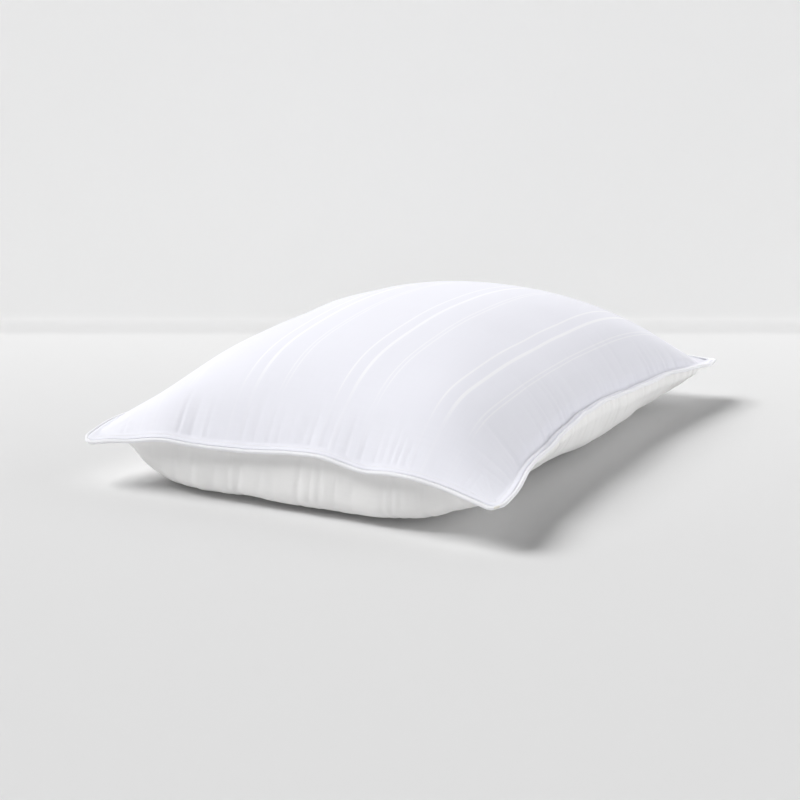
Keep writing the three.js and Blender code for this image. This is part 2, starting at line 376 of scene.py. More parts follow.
@dataclass(frozen=True)
class Gather:
    """The small folds that the stitching draws into a panel along one side."""

    height: float
    reach: float
    tuck: float


# ---------------------------------------------------------------------------------------------
# The shell
# ---------------------------------------------------------------------------------------------


@dataclass
class Shell:
    """The inflated shell: two flat panels sewn round their edge and filled."""

    edge: EdgeSizes
    pose: Pose
    flat_length: float = 0.690
    flat_width: float = 0.487
    cell: float = 0.010
    volume: float = 0.0415
    frames: int = 46
    seam_shrink: float = 0.045
    seam_band: float = 0.028
    edge_smoothing: float = 2.4
    edge_band: float = 0.05
    smoothing: dict[Side, float] = field(default_factory=lambda: {Side.TOP: 2.4, Side.BOTTOM: 0.9})
    first_bulge: float = 12 * MM
    drop: float = 0.055
    tilt_spacing: float = 0.05
    push_border: float = 0.04
    sim_floor_reach: float = 1.5
    frame_step: float = 1.5 * MM

    def __post_init__(self) -> None:
        """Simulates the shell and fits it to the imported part's size."""
        self.half = np.array([self.flat_length, self.flat_width]) / 2
        self.columns = round(self.flat_length / self.cell)
        self.rows = round(self.flat_width / self.cell)
        points = self._simulate()
        self.sheets = self._fit_to_frame(points)
        radius = self.edge.corner_radius
        self.perimeter = 4 * (self.half.sum() - 2 * radius) + 2 * math.pi * radius
        self.waves = {
            edge: Wobble(2 * self.half[1 - edge.axis], self.pose.wave_spacing, 11 + index)
            for index, edge in enumerate(Edge)
        }
        self.rises = {
            edge: Wobble.through(2 * self.half[1 - edge.axis], values)
            for edge, values in self.pose.edge_rise.items()
        }
        self.tilt_wobble = Wobble(self.perimeter, self.tilt_spacing, 23)

    def _flat_mesh(self) -> bpy.types.Mesh:
        """Makes the two flat panels, slightly bulged apart and welded along their edge.

        Returns:
            The mesh at its flat size.
        """
        bm = bmesh.new()
        for side in Side:
            made = bmesh.ops.create_grid(bm, x_segments=self.columns, y_segments=self.rows, size=1.0)
            for vert in made["verts"]:
                x, y = vert.co.x, vert.co.y
                bulge = self.first_bulge * math.sqrt(max(0.0, (1 - x * x) * (1 - y * y)))
                vert.co = (x * self.half[0], y * self.half[1], side.value * bulge)
            if side is Side.BOTTOM:
                faces = list({face for vert in made["verts"] for face in vert.link_faces})
                bmesh.ops.reverse_faces(bm, faces=faces)
        bmesh.ops.remove_doubles(bm, verts=bm.verts, dist=1e-5)
        return mesh_from(bm, "shell_flat")

    def _simulate(self) -> dict[Side, np.ndarray]:
        """Inflates the flat panels to the target volume on the floor.

        Returns:
            The grid of points of each panel.
        """
        mesh = self._flat_mesh()
        rest = np.zeros(len(mesh.vertices) * 3)
        mesh.vertices.foreach_get("co", rest)
        rest = rest.reshape(-1, 3)
        mesh.vertices.foreach_set("co", (rest + UP * self.drop).ravel())
        body = linked("shell_sim", mesh)
        inset = np.minimum(self.half[0] - np.abs(rest[:, 0]), self.half[1] - np.abs(rest[:, 1]))
        seam = body.vertex_groups.new(name="seam")
        for index, distance in enumerate(inset):
            seam.add([index], float(np.clip(1 - distance / self.seam_band, 0, 1)), "REPLACE")
        floor = self._sim_floor()
        self._add_cloth(body)
        for step in range(1, self.frames + 1):
            bpy.context.scene.frame_set(step)
        settled = body.evaluated_get(bpy.context.evaluated_depsgraph_get()).to_mesh()
        found = np.zeros(len(settled.vertices) * 3)
        settled.vertices.foreach_get("co", found)
        found = found.reshape(-1, 3)
        columns = np.round((rest[:, 0] / self.flat_length + 0.5) * self.columns).astype(int)
        rows = np.round((rest[:, 1] / self.flat_width + 0.5) * self.rows).astype(int)
        grids = {}
        for side in Side:
            grid = np.zeros((self.columns + 1, self.rows + 1, 3))
            mine = rest[:, 2] * side.value > -1e-9
            grid[columns[mine], rows[mine]] = found[mine]
            grids[side] = grid
        for done in (body, floor):
            bpy.data.objects.remove(done)
        bpy.context.scene.frame_set(1)
        return grids

    def _sim_floor(self) -> bpy.types.Object:
        """Makes the floor that the shell settles on while it is simulated.

        Returns:
            The floor's object.
        """
        bm = bmesh.new()
        bmesh.ops.create_grid(bm, x_segments=1, y_segments=1, size=self.sim_floor_reach)
        floor = linked("sim_floor", mesh_from(bm, "sim_floor"))
        floor.modifiers.new("Collision", "COLLISION")
        floor.collision.thickness_outer = 2 * MM
        floor.collision.cloth_friction = 10
        return floor

    def _add_cloth(self, body: bpy.types.Object) -> None:
        """Gives the flat panels the weight and stiffness of cotton and the pressure of the fill.

        Args:
            body: The flat panels' object.
        """
        cloth = body.modifiers.new("Cloth", "CLOTH")
        settings = cloth.settings
        settings.quality = 8
        settings.mass = 0.0006
        settings.tension_stiffness = 40
        settings.compression_stiffness = 40
        settings.shear_stiffness = 10
        settings.bending_stiffness = 0.05
        settings.tension_damping = settings.compression_damping = settings.shear_damping = 5
        settings.air_damping = 2
        settings.use_pressure = True
        settings.uniform_pressure_force = 0
        settings.use_pressure_volume = True
        settings.target_volume = self.volume
        settings.vertex_group_shrink = "seam"
        settings.shrink_min = 0
        settings.shrink_max = self.seam_shrink
        cloth.collision_settings.use_collision = True
        cloth.collision_settings.distance_min = 2 * MM
        cloth.point_cache.frame_start = 1
        cloth.point_cache.frame_end = self.frames + 1

    def _fit_to_frame(self, grids: dict[Side, np.ndarray]) -> dict[Side, SmoothSheet]:
        """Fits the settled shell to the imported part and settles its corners.

        Args:
            grids: The simulated grid of points of each panel.

        Returns:
            The smooth surface of each panel.
        """
        grids = {side: self._eased(grid, self.smoothing[side]) for side, grid in grids.items()}
        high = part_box("piping_cover")[1]
        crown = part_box("top_panel")[1].z
        outside = self.edge.piping_out + self.edge.piping_radius
        top, bottom = grids[Side.TOP], grids[Side.BOTTOM]
        least, most = (pick(top[..., :2], axis=(0, 1)) for pick in (np.min, np.max))
        target = np.array([high.x, high.y]) - outside + self.pose.corner_slack
        floor = bottom[..., 2].min()
        rise = (crown - self.edge.stack) / (top[..., 2].max() - floor)
        fitted = {}
        for side, grid in grids.items():
            grid = grid.copy()
            grid[..., :2] = (grid[..., :2] - (least + most) / 2) * 2 * target / (most - least)
            grid[..., 2] = (grid[..., 2] - floor) * rise
            fitted[side] = grid
        for (sign_x, sign_y), height in self.pose.corner_heights.items():
            corner = fitted[Side.TOP][0 if sign_x < 0 else -1, 0 if sign_y < 0 else -1].copy()
            share = height / corner[2]
            for grid in fitted.values():
                away = np.linalg.norm(grid[..., :2] - corner[:2], axis=-1)
                grid[..., 2] *= 1 - (1 - share) * np.exp(-((away / self.pose.corner_reach) ** 2))
        self._push(fitted)
        return {side: SmoothSheet(grid, self.flat_length, self.flat_width) for side, grid in fitted.items()}

    def _flat_grid(self) -> tuple[np.ndarray, np.ndarray]:
        """Gives the flat places of a simulated grid's columns and rows.

        Returns:
            The columns' places along the length, and the rows' places along the width.
        """
        x = np.linspace(-self.half[0], self.half[0], self.columns + 1)[:, None]
        y = np.linspace(-self.half[1], self.half[1], self.rows + 1)[None, :]
        return x, y

    def _inset_grid(self) -> np.ndarray:
        """Gives how far inside the edge each point of a simulated grid lies when flat."""
        x, y = self._flat_grid()
        return np.minimum(self.half[0] - np.abs(x), self.half[1] - np.abs(y))

    def _eased(self, grid: np.ndarray, spread: float) -> np.ndarray:
        """Smooths a simulated grid: by one amount along its edge, and by another inside."""
        near = fade(self._inset_grid(), self.edge_band)[..., None]
        return smoothed(grid, self.edge_smoothing) * near + smoothed(grid, spread) * (1 - near)

    def _push(self, grids: dict[Side, np.ndarray]) -> None:
        """Makes the pose's soft local changes to the grids of the two panels.

        Args:
            grids: The grid of points of each panel, which is changed.
        """
        x, y = self._flat_grid()
        inset = self._inset_grid()
        for push in self.pose.pushes:
            amount = push.height * np.exp(-((x - push.x) ** 2 + (y - push.y) ** 2) / push.reach**2)
            if len(push.sides) == 1:
                amount = amount * (1 - fade(inset, self.push_border))
            for side in push.sides:
                grids[side][..., 2] = np.maximum(grids[side][..., 2] + amount, 0)

    def round_corner(self, x: np.ndarray, y: np.ndarray) -> tuple[np.ndarray, np.ndarray, np.ndarray]:
        """Rounds the corners of square flat places, and finds the crease point beside each.

        Args:
            x: Flat places along the length, which may lie outside the crease.
            y: Flat places along the width.

        Returns:
            The rounded place, the nearest point of the crease, and the flat direction outwards.
        """
        radius = self.edge.corner_radius
        place = np.stack([x, y], -1)
        core = np.clip(place, -(self.half - radius), self.half - radius)
        off = place - core
        size = np.abs(off)
        reach = size.max(-1, keepdims=True)
        angle = np.arctan2(size[..., 1], np.maximum(size[..., 0], 1e-12))
        even = np.where(
            size[..., 1] <= size[..., 0],
            size[..., 1] / np.maximum(size[..., 0], 1e-12),
            2 - size[..., 0] / np.maximum(size[..., 1], 1e-12),
        )
        angle = np.where((size > 1e-9).all(-1), even * math.pi / 4, angle)
        facing = np.where(off < 0, -1.0, 1.0)
        outward = np.stack([np.cos(angle), np.sin(angle)], -1) * facing
        inner = reach[..., 0] < 1e-9
        nearest_side = (self.half - np.abs(place)).argmin(-1)
        plain = np.zeros_like(place)
        np.put_along_axis(plain, nearest_side[..., None], 1.0, -1)
        plain *= np.where(place < 0, -1.0, 1.0)
        outward = np.where(inner[..., None], plain, outward)
        rounded = core + outward * reach * ~inner[..., None]
        on_side = place.copy()
        side_line = np.take_along_axis(self.half * np.where(place < 0, -1.0, 1.0), nearest_side[..., None], -1)
        np.put_along_axis(on_side, nearest_side[..., None], side_line, -1)
        crease = np.where(inner[..., None], on_side, core + outward * radius)
        return rounded, crease, outward

    def inset(self, place: np.ndarray) -> np.ndarray:
        """Gives how far inside the rounded crease flat places lie.

        Args:
            place: The flat places.

        Returns:
            Distances in metres, negative outside the crease.
        """
        radius = self.edge.corner_radius
        beyond = np.abs(place) - (self.half - radius)
        outside_core = np.linalg.norm(np.maximum(beyond, 0), axis=-1)
        return radius - outside_core - np.minimum(beyond.max(-1), 0)

    def _runs(self) -> tuple[list[float], float]:
        """Gives the lengths of the straight runs from the +X side on, and of the arc after each.

        Returns:
            The four lengths, and the length of one arc, in metres.
        """
        radius = self.edge.corner_radius
        straight = 2 * (self.half - radius)
        return [straight[1], straight[0], straight[1], straight[0]], math.pi / 2 * radius

    def along(self, crease: np.ndarray, outward: np.ndarray) -> np.ndarray:
        """Gives the distance along the edge of points of the crease, anticlockwise from +X.

        Args:
            crease: Flat points of the crease.
            outward: The flat direction outwards at each.

        Returns:
            Distances in metres.
        """
        lengths, arc = self._runs()
        angle = np.mod(np.arctan2(outward[..., 1], outward[..., 0]), 2 * math.pi)
        quarter = math.pi / 2
        starts = np.cumsum([0.0, *(length + arc for length in lengths[:3])])
        place = np.zeros(crease.shape[:-1])
        runs = [crease[..., 1], -crease[..., 0], -crease[..., 1], crease[..., 0]]
        for index in range(4):
            turned = np.mod(angle - index * quarter + 1e-6, 2 * math.pi)
            mine = turned < quarter
            on_side = np.clip(runs[index], -lengths[index] / 2, lengths[index] / 2) + lengths[index] / 2
            distance = starts[index] + on_side + np.maximum(turned - 1e-6, 0) * self.edge.corner_radius
            place = np.where(mine, distance, place)
        return place

    def crease_at(self, place: np.ndarray) -> tuple[np.ndarray, np.ndarray]:
        """Gives the flat crease point and direction outwards at distances along the edge.

        Args:
            place: Distances along the edge in metres.

        Returns:
            Flat points of the crease and the flat directions outwards.
        """
        radius = self.edge.corner_radius
        lengths, arc = self._runs()
        ends = np.cumsum([length + arc for length in lengths])
        place = np.mod(place, ends[-1])
        index = np.searchsorted(ends, place, side="right").clip(0, 3)
        start = np.concatenate([[0.0], ends])[index]
        length = np.array(lengths)[index]
        into = place - start
        turn = np.maximum(into - length, 0) / radius
        base = index * math.pi / 2
        outward = np.stack([np.cos(base + turn), np.sin(base + turn)], -1)
        normal = np.stack([np.cos(base), np.sin(base)], -1)
        run = np.stack([-np.sin(base), np.cos(base)], -1)
        across = np.where(index % 2 == 0, self.half[0], self.half[1]) - radius
        core = normal * across[..., None] + run * (np.minimum(into, length) - length / 2)[..., None]
        return core + outward * radius, outward

    def middle(self, place: np.ndarray) -> np.ndarray:
        """Gives the surface halfway between the two panels at flat places."""
        return sum(sheet.at(place[..., 0], place[..., 1]) for sheet in self.sheets.values()) / 2

    def lift(self, place: np.ndarray, side: Side = Side.TOP) -> np.ndarray:
        """Gives how far the edge's waves raise one panel at flat places.

        Args:
            place: The flat places.
            side: The panel.

        Returns:
            Heights in metres.
        """
        total = np.zeros(place.shape[:-1])
        weights = np.zeros(place.shape[:-1])
        for edge, wave in self.waves.items():
            away, run = beside(self.half, place, edge)
            weight = 1 / (np.maximum(away, 0) + 2 * MM) ** 2
            run = run + self.half[1 - edge.axis]
            total += weight * (wave.at(run) * self.pose.wave_height + self.rises[edge].at(run) * MM)
            weights += weight
        return total / weights * fade(np.maximum(self.inset(place), 0), self.pose.rise_reach[side])

    def frames_at(self, crease: np.ndarray, outward: np.ndarray) -> "EdgeFrames":
        """Gives the frames of the sewn edge at points of the crease.

        Args:
            crease: Flat points of the crease.
            outward: The flat direction outwards at each.

        Returns:
            The places and directions of the edge there.
        """
        run = np.stack([-outward[..., 1], outward[..., 0]], -1)
        points = []
        for shift in (-self.frame_step, 0.0, self.frame_step):
            near = crease + run * shift
            lift = self.lift(near)
            points.append(self.middle(near) + UP * lift[..., None])
        along = unit(points[2] - points[0])
        out = unit(np.cross(along, UP))
        up = np.cross(out, along)
        tilt = sum(
            degrees * np.maximum(outward @ edge.facing, 0) ** 2 for edge, degrees in self.pose.tilt.items()
        )
        tilt = tilt + self.tilt_wobble.at(self.along(crease, outward)) * self.pose.tilt_wander
        cos, sin = np.cos(np.radians(tilt))[..., None], np.sin(np.radians(tilt))[..., None]
        return EdgeFrames(points[1], along, cos * out + sin * up, cos * up - sin * out)


@dataclass
class EdgeFrames:
    """Places along the crease with the directions along, out of and square to the flat edge."""

    point: np.ndarray
    along: np.ndarray
    out: np.ndarray
    up: np.ndarray

    def at(self, out: np.ndarray | float, up: np.ndarray | float) -> np.ndarray:
        """Gives points at distances out from the crease and up from the middle of the stack.

        Args:
            out: Distances out, in metres.
            up: Distances up, in metres.

        Returns:
            The points.
        """
        out = np.broadcast_to(out, self.point.shape[:-1])[..., None]
        up = np.broadcast_to(up, self.point.shape[:-1])[..., None]
        return self.point + self.out * out + self.up * up


# ---------------------------------------------------------------------------------------------
# Pieces
# ---------------------------------------------------------------------------------------------


def grid_object(
    name: str, points: np.ndarray, flat: np.ndarray, closed: bool = False, reverse: bool = False
) -> bpy.types.Object:
    """Makes an object from a regular grid of points, welded where its borders meet.

    Args:
        name: The object's name.
        points: The grid, as columns by rows by three.
        flat: The flat place of each point, in metres, for its UV map.
        closed: Whether the borders meet, so that the faces can all be turned outwards.
        reverse: Whether to turn the faces of an open grid over.

    Returns:
        The new object.
    """
    columns, rows = points.shape[0] - 1, points.shape[1] - 1
    bm = bmesh.new()
    bmesh.ops.create_grid(bm, x_segments=columns, y_segments=rows, size=1.0)
    mesh = mesh_from(bm, name)
    made = np.zeros(len(mesh.vertices) * 3, dtype=np.float32)
    mesh.vertices.foreach_get("co", made)
    made = made.reshape(-1, 3)
    column = np.round((made[:, 0] + 1) / 2 * columns).astype(int)
    row = np.round((made[:, 1] + 1) / 2 * rows).astype(int)
    mesh.vertices.foreach_set("co", points[column, row].astype(np.float32).ravel())
    corner = np.zeros(len(mesh.loops), dtype=np.int32)
    mesh.loops.foreach_get("vertex_index", corner)
    layer = mesh.uv_layers.new(name="flat")
    layer.uv.foreach_set("vector", flat[column, row][corner].astype(np.float32).ravel())
    bm = bmesh.new()
    bm.from_mesh(mesh)
    if closed:
        bmesh.ops.remove_doubles(bm, verts=bm.verts, dist=2e-6)
        bmesh.ops.dissolve_degenerate(bm, edges=bm.edges, dist=1e-7)
        bmesh.ops.recalc_face_normals(bm, faces=bm.faces)
    elif reverse:
        bmesh.ops.reverse_faces(bm, faces=bm.faces)
    bm.to_mesh(mesh)
    bm.free()
    mesh.shade_smooth()
    return linked(name, mesh)


@dataclass(frozen=True)
class Swell:
    """How far the body swells out beside an edge, over what reach and rise, and how far from the corners, in metres."""

    height: float
    reach: float = 60 * MM
    rise: float = 16 * MM
    ends: float = 90 * MM


@dataclass
class Gathers:
    """The small folds that the stitching draws into one panel, and that fan out of its corners."""

    shell: Shell
    sizes: dict[Edge, Gather]
    corner_height: float
    seed: int
    reach_spacing: float = 14 * MM
    reach_variety: float = 0.45
    strength_spacing: float = 45 * MM
    strength: float = 0.85
    strength_variety: float = 0.35
    strength_limits: tuple[float, float] = (0.3, 1.3)
    flattening: float = 0.9
    rise: float = 5 * MM
    plain_end: float = 10 * MM
    end_fade: float = 35 * MM
    fan_turn: float = 2.4
    fan_spacing: float = 0.085
    fan_rise: float = 30 * MM
    fan_reach: float = 0.12

    def __post_init__(self) -> None:
        """Draws the folds of each side and corner."""
        self.half = self.shell.half
        self.folds, self.reaches, self.strengths = {}, {}, {}
        for index, (edge, size) in enumerate(self.sizes.items()):
            length = 2 * self.half[1 - edge.axis]
            self.folds[edge] = Wobble(length, size.tuck, self.seed + index)
            self.reaches[edge] = Wobble(length, self.reach_spacing, self.seed + 10 + index)
            self.strengths[edge] = Wobble(length, self.strength_spacing, self.seed + 20 + index)
        self.fans = [Wobble(self.fan_turn, self.fan_spacing, self.seed + 30 + index) for index in range(4)]

    def height(self, place: np.ndarray) -> np.ndarray:
        """Gives how far the folds raise the cloth at flat places.

        Args:
            place: The flat places.

        Returns:
            Heights in metres.
        """
        total = np.zeros(place.shape[:-1])
        for edge, size in self.sizes.items():
            away, run = beside(self.half, place, edge)
            away = np.maximum(away, 0)
            room = self.half[1 - edge.axis] - np.abs(run)
            start = run + self.half[1 - edge.axis]
            fold = self.folds[edge].at(start)
            fold = fold - self.flattening * np.abs(fold) ** 1.5
            reach = size.reach * (1 + self.reach_variety * self.reaches[edge].at(start))
            strength = self.strength + self.strength_variety * self.strengths[edge].at(start)
            strength = np.clip(strength, *self.strength_limits)
            rise = 1 - fade(away, self.rise)
            ends = 1 - fade(np.maximum(room - self.plain_end, 0), self.end_fade)
            total += size.height * strength * fold * rise * fade(away, reach) * ends
        for index, (sign_x, sign_y) in enumerate(((-1, -1), (1, -1), (1, 1), (-1, 1))):
            corner = self.half * np.array([sign_x, sign_y])
            into = (corner - place) * np.array([sign_x, sign_y])
            distance = np.linalg.norm(into, axis=-1)
            angle = np.arctan2(into[..., 1], np.maximum(into[..., 0], 1e-9))
            fold = self.fans[index].at(angle)
            swell = (1 - fade(distance, self.fan_rise)) * fade(distance, self.fan_reach)
            sides = np.clip(np.sin(2 * np.clip(angle, 0, math.pi / 2)), 0, 1)
            total += self.corner_height * fold * swell * sides
        return total


@dataclass
class Panel:
    """One cloth panel, with its topstitched edge folded back into the shell."""

    shell: Shell
    side: Side
    gathers: Gathers
    swell: dict[Edge, Swell]
    ring_spacing: float = 1.4 * MM
    fine_band: float = 56 * MM
    fine_cell: float = 1.4 * MM
    middle_cell: float = 2.45 * MM
    crease_share: float = 0.9
    ripple_height: float = 0.16 * MM
    ripple_spacing: float = 4.5 * MM
    ripple_middle: float = 3.2 * MM
    ripple_reach: float = 2.6 * MM
    folded_rings: int = 6
    swell_out: float = 0.6
    swell_up: float = 0.8
    rings: tuple[tuple[float, float], ...] = (
        (0.8, 0.78),
        (1.8, 1.0),
        (3.2, 1.04),
        (4.6, 1.02),
        (5.5, 0.95),
        (5.95, 0.7),
        (5.6, 0.45),
        (4.2, 0.4),
        (2.4, 0.4),
        (0.4, 0.4),
        (-1.4, 0.4),
        (-3.0, 0.4),
    )

    def __post_init__(self) -> None:
        """Draws the fine ripple between the crease and the topstitching."""
        self.ripple = Wobble(self.shell.perimeter, self.ripple_spacing, 51 + self.side.value)

    def _lines(self, half: float) -> np.ndarray:
        """Gives the grid lines of one direction, out past the crease by one line a ring.

        Args:
            half: Half of the flat size in this direction, in metres.

        Returns:
            The lines' places, from one side to the other.
        """
        scale = 1
        near = half - np.linspace(0, self.fine_band, round(self.fine_band / self.fine_cell / scale) + 1)
        count = round(2 * (half - self.fine_band) / self.middle_cell / scale)
        middle = np.linspace(-near[-1], near[-1], count + 1)[1:-1]
        beyond = half + self.ring_spacing * np.arange(len(self.rings), 0, -1)
        return np.concatenate([-beyond, -near, middle, near[::-1], beyond[::-1]])

    def body(self, x: np.ndarray, y: np.ndarray) -> tuple[np.ndarray, np.ndarray]:
        """Gives the panel's points inside the crease at square flat places.

        Args:
            x: Flat places along the length.
            y: Flat places along the width.

        Returns:
            The points, and the rounded flat places that they come from.
        """
        shell, sign = self.shell, self.side.value
        place, crease, outward = shell.round_corner(x, y)
        surface = shell.sheets[self.side].at(place[..., 0], place[..., 1])
        halfway = shell.middle(place)
        distance = np.maximum(shell.inset(place), 0)
        radius = shell.edge.corner_radius
        off = np.abs(place) - (shell.half - radius)
        cornered = np.clip(off.min(-1) / (0.5 * radius), 0, 1)
        surface += (halfway - surface) * (fade(distance, radius) * cornered)[..., None]
        surface += UP * shell.lift(place, self.side)[..., None]
        frames = shell.frames_at(crease, outward)
        stack = shell.edge.stack * self.crease_share * fade(distance, radius)
        surface += frames.up * (sign * stack)[..., None]
        return surface, place

    def build(self, name: str) -> bpy.types.Object:
        """Makes the panel's object.

        Args:
            name: The object's name.

        Returns:
            The new object, with its flat places as its UV map.
        """
        shell, sign = self.shell, self.side.value
        lines_x, lines_y = self._lines(shell.half[0]), self._lines(shell.half[1])
        count = len(self.rings)
        x, y = np.meshgrid(lines_x, lines_y, indexing="ij")
        inner = (slice(count, -count), slice(count, -count))
        points = np.zeros((*x.shape, 3))
        body, place = self.body(x[inner], y[inner])
        body += self._normals(body) * self.gathers.height(place)[..., None] + self._swell(place)
        body[..., 2] = np.maximum(body[..., 2], 0)
        points[inner] = body
        _, crease, outward = shell.round_corner(x, y)
        ring_x = np.maximum(count - np.arange(len(lines_x)), 0)
        ring_x = np.maximum(ring_x, ring_x[::-1])
        ring_y = np.maximum(count - np.arange(len(lines_y)), 0)
        ring_y = np.maximum(ring_y, ring_y[::-1])
        ring = np.maximum(ring_x[:, None], ring_y[None, :])
        rim = ring > 0
        frames = shell.frames_at(crease[rim], outward[rim])
        table = np.array(self.rings)[ring[rim] - 1]
        out = table[:, 0] * MM
        up = table[:, 1] * shell.edge.stack
        place_along = shell.along(crease[rim], outward[rim])
        rippled = fade(np.abs(out - self.ripple_middle), self.ripple_reach) * (up > 0.5 * MM)
        up += self.ripple_height * self.ripple.at(place_along) * rippled
        points[rim] = frames.at(out, up * sign)
        flat = np.zeros((*x.shape, 2))
        flat[inner] = place
        unfolded = np.where(ring[rim] <= self.folded_rings, out, 2 * shell.edge.flange - out)
        flat[rim] = crease[rim] + outward[rim] * unfolded[:, None]
        return grid_object(name, points, flat, reverse=self.side is Side.BOTTOM)

    def _swell(self, place: np.ndarray) -> np.ndarray:
        """Gives how the body swells out beside the crease at flat places.

        Args:
            place: The flat places.

        Returns:
            A move for each place, in metres.
        """
        total = np.zeros((*place.shape[:-1], 3))
        for edge, swell in self.swell.items():
            away, run = beside(self.shell.half, place, edge)
            away = np.maximum(away, 0)
            room = self.shell.half[1 - edge.axis] - np.abs(run)
            rise = 1 - fade(away, swell.rise)
            size = swell.height * rise * fade(away, swell.reach) * (1 - fade(room, swell.ends))
            toward = np.array([*(self.swell_out * edge.facing), self.swell_up * self.side.value])
            total += size[..., None] * toward
        return total

    def _normals(self, points: np.ndarray) -> np.ndarray:
        """Gives the outward directions of a grid of points.

        Args:
            points: The grid, as columns by rows by three.

        Returns:
            A direction for each point.
        """
        along = np.gradient(points, axis=0)
        across = np.gradient(points, axis=1)
        return unit(np.cross(along, across)) * self.side.value


@dataclass
class EdgeParts:
    """The pieces that run along the sewn edge: the piping, its cord, the rows of stitches and the labels."""

    shell: Shell
    step: float = 2 * MM
    strip_gap: float = 0.14 * MM
    strip_turn: float = 172.0
    strip_sides: int = 21
    tail_lines: int = 4
    slack_spacing: float = 0.03
    slack: float = 0.012
    cord_step: float = 1.3 * MM
    cord_lay: float = 9 * MM
    cord_sides: int = 18
    stitch: float = 3 * MM
    thread_radius: float = 0.17 * MM
    thread_sides: int = 6
    stitch_places: tuple[float, ...] = (0.0, 0.06, 0.14, 0.3, 0.5, 0.7, 0.86, 0.94)
    stitch_heights: tuple[float, ...] = (-0.30, -0.12, 0.07, 0.13, 0.15, 0.13, 0.07, -0.12)
    label_columns: int = 15
    label_rows: int = 27
    label_clearance: float = 4 * MM
    label_path: tuple[tuple[float, float], ...] = (
        (0.3, -0.72),
        (2.5, -0.72),
        (4.5, -0.72),
        (6.1, -0.8),
        (6.7, -1.5),
        (6.9, -2.6),
    )

    def __post_init__(self) -> None:
        """Draws how the piping's thickness varies along the edge."""
        self.thickness = Wobble(self.shell.perimeter, self.slack_spacing, 77)

    def _closed_stations(self, spacing: float) -> np.ndarray:
        """Gives even distances right round the edge, the last meeting the first."""
        count = round(self.shell.perimeter / spacing / (1))
        return np.linspace(0, self.shell.perimeter, count + 1)

    def _frames(self, stations: np.ndarray) -> EdgeFrames:
        """Gives the edge's frames at distances along it."""
        crease, outward = self.shell.crease_at(stations)
        return self.shell.frames_at(crease, outward)

    def _swept(
        self, name: str, stations: np.ndarray, out: np.ndarray, up: np.ndarray, closed: bool
    ) -> bpy.types.Object:
        """Makes a swept piece from its section's distances out and up at every station.

        Args:
            name: The piece's name.
            stations: Distances along the edge, in metres.
            out: Distances out of the section's points, as stations by points.
            up: Distances up of the section's points.
            closed: Whether the last station meets the first.

        Returns:
            The new object.
        """
        frames = self._frames(np.broadcast_to(stations[:, None], out.shape))
        points = frames.at(out, up)
        if closed:
            points[-1] = points[0]
        steps = (np.diff(part, axis=1, prepend=part[:, :1]) for part in (out, up))
        girth = np.cumsum(np.hypot(*steps), 1)
        flat = np.stack([np.broadcast_to(stations[:, None], out.shape), girth], -1)
        return grid_object(name, points, flat, closed=True)

    def piping(self, name: str) -> bpy.types.Object:
        """Makes the strip of cloth that wraps the cord, with its two tails in the seam.

        Args:
            name: The piece's name.

        Returns:
            The new object.
        """
        edge = self.shell.edge
        turn = np.radians(np.linspace(self.strip_turn, -self.strip_turn, self.strip_sides))
        radius = edge.piping_radius
        tail = np.linspace(edge.flange - edge.piping_tail, edge.flange + 0.1 * MM, self.tail_lines)
        gap = np.full(self.tail_lines, self.strip_gap)
        out = np.concatenate([tail, edge.piping_out + radius * np.cos(turn), tail[::-1]])
        up = np.concatenate([gap, radius * np.sin(turn), -gap])
        stations = self._closed_stations(self.step)
        round_part = np.pad(np.ones(self.strip_sides), self.tail_lines)
        slack = 1 + self.slack * self.thickness.at(stations)[:, None] * round_part
        out = edge.piping_out + (out - edge.piping_out)[None] * slack
        up = np.broadcast_to(up, out.shape) * slack
        return self._swept(name, stations, out, up, closed=True)

    def cord(self, name: str) -> bpy.types.Object:
        """Makes the twisted cord inside the piping.

        Args:
            name: The piece's name.

        Returns:
            The new object.
        """
        edge = self.shell.edge
        stations = self._closed_stations(self.cord_step)
        turn = np.linspace(0, 2 * math.pi, self.cord_sides + 1)
        twist = 2 * math.pi * np.round(self.shell.perimeter / self.cord_lay) * stations / self.shell.perimeter
        lobes = np.abs(np.cos(1.5 * (turn[None] - twist[:, None])))
        radius = edge.cord_radius * (0.84 + 0.16 * lobes)
        out = edge.piping_out + radius * np.cos(turn)
        up = radius * np.sin(turn)
        out[:, -1], up[:, -1] = out[:, 0], up[:, 0]
        return self._swept(name, stations, out, up, closed=True)

    def thread(
        self, name: str, row: float, height: float, start: float = 0.0, length: float | None = None
    ) -> bpy.types.Object:
        """Makes one thread of a row of lockstitches.

        Args:
            name: The object's name.
            row: The row's distance out from the crease, in metres.
            height: The height of the cloth that it lies on above the middle of the edge, in metres,
                negative for the thread below.
            start: Where the row starts along the edge, in metres.
            length: The row's length, or None for a row right round the edge.

        Returns:
            The new object.
        """
        whole = length is None
        length = self.shell.perimeter if whole else length
        stitches = round(length / self.stitch)
        rise = np.array(self.stitch_heights) * MM
        stations = ((np.arange(stitches)[:, None] + self.stitch_places) / stitches * length).ravel()
        lift = np.tile(rise, stitches)
        stations = np.append(stations, length) + start
        lift = np.append(lift, rise[0])
        turn = np.linspace(0, 2 * math.pi, self.thread_sides + 1)
        radius = np.full(len(stations), self.thread_radius)
        if not whole:
            radius[0] = radius[-1] = 0
        sign = math.copysign(1.0, height)
        out = row + radius[:, None] * np.cos(turn)
        up = height + sign * lift[:, None] + radius[:, None] * np.sin(turn)
        out[:, -1], up[:, -1] = out[:, 0], up[:, 0]
        return self._swept(name, stations, out, up, closed=whole)

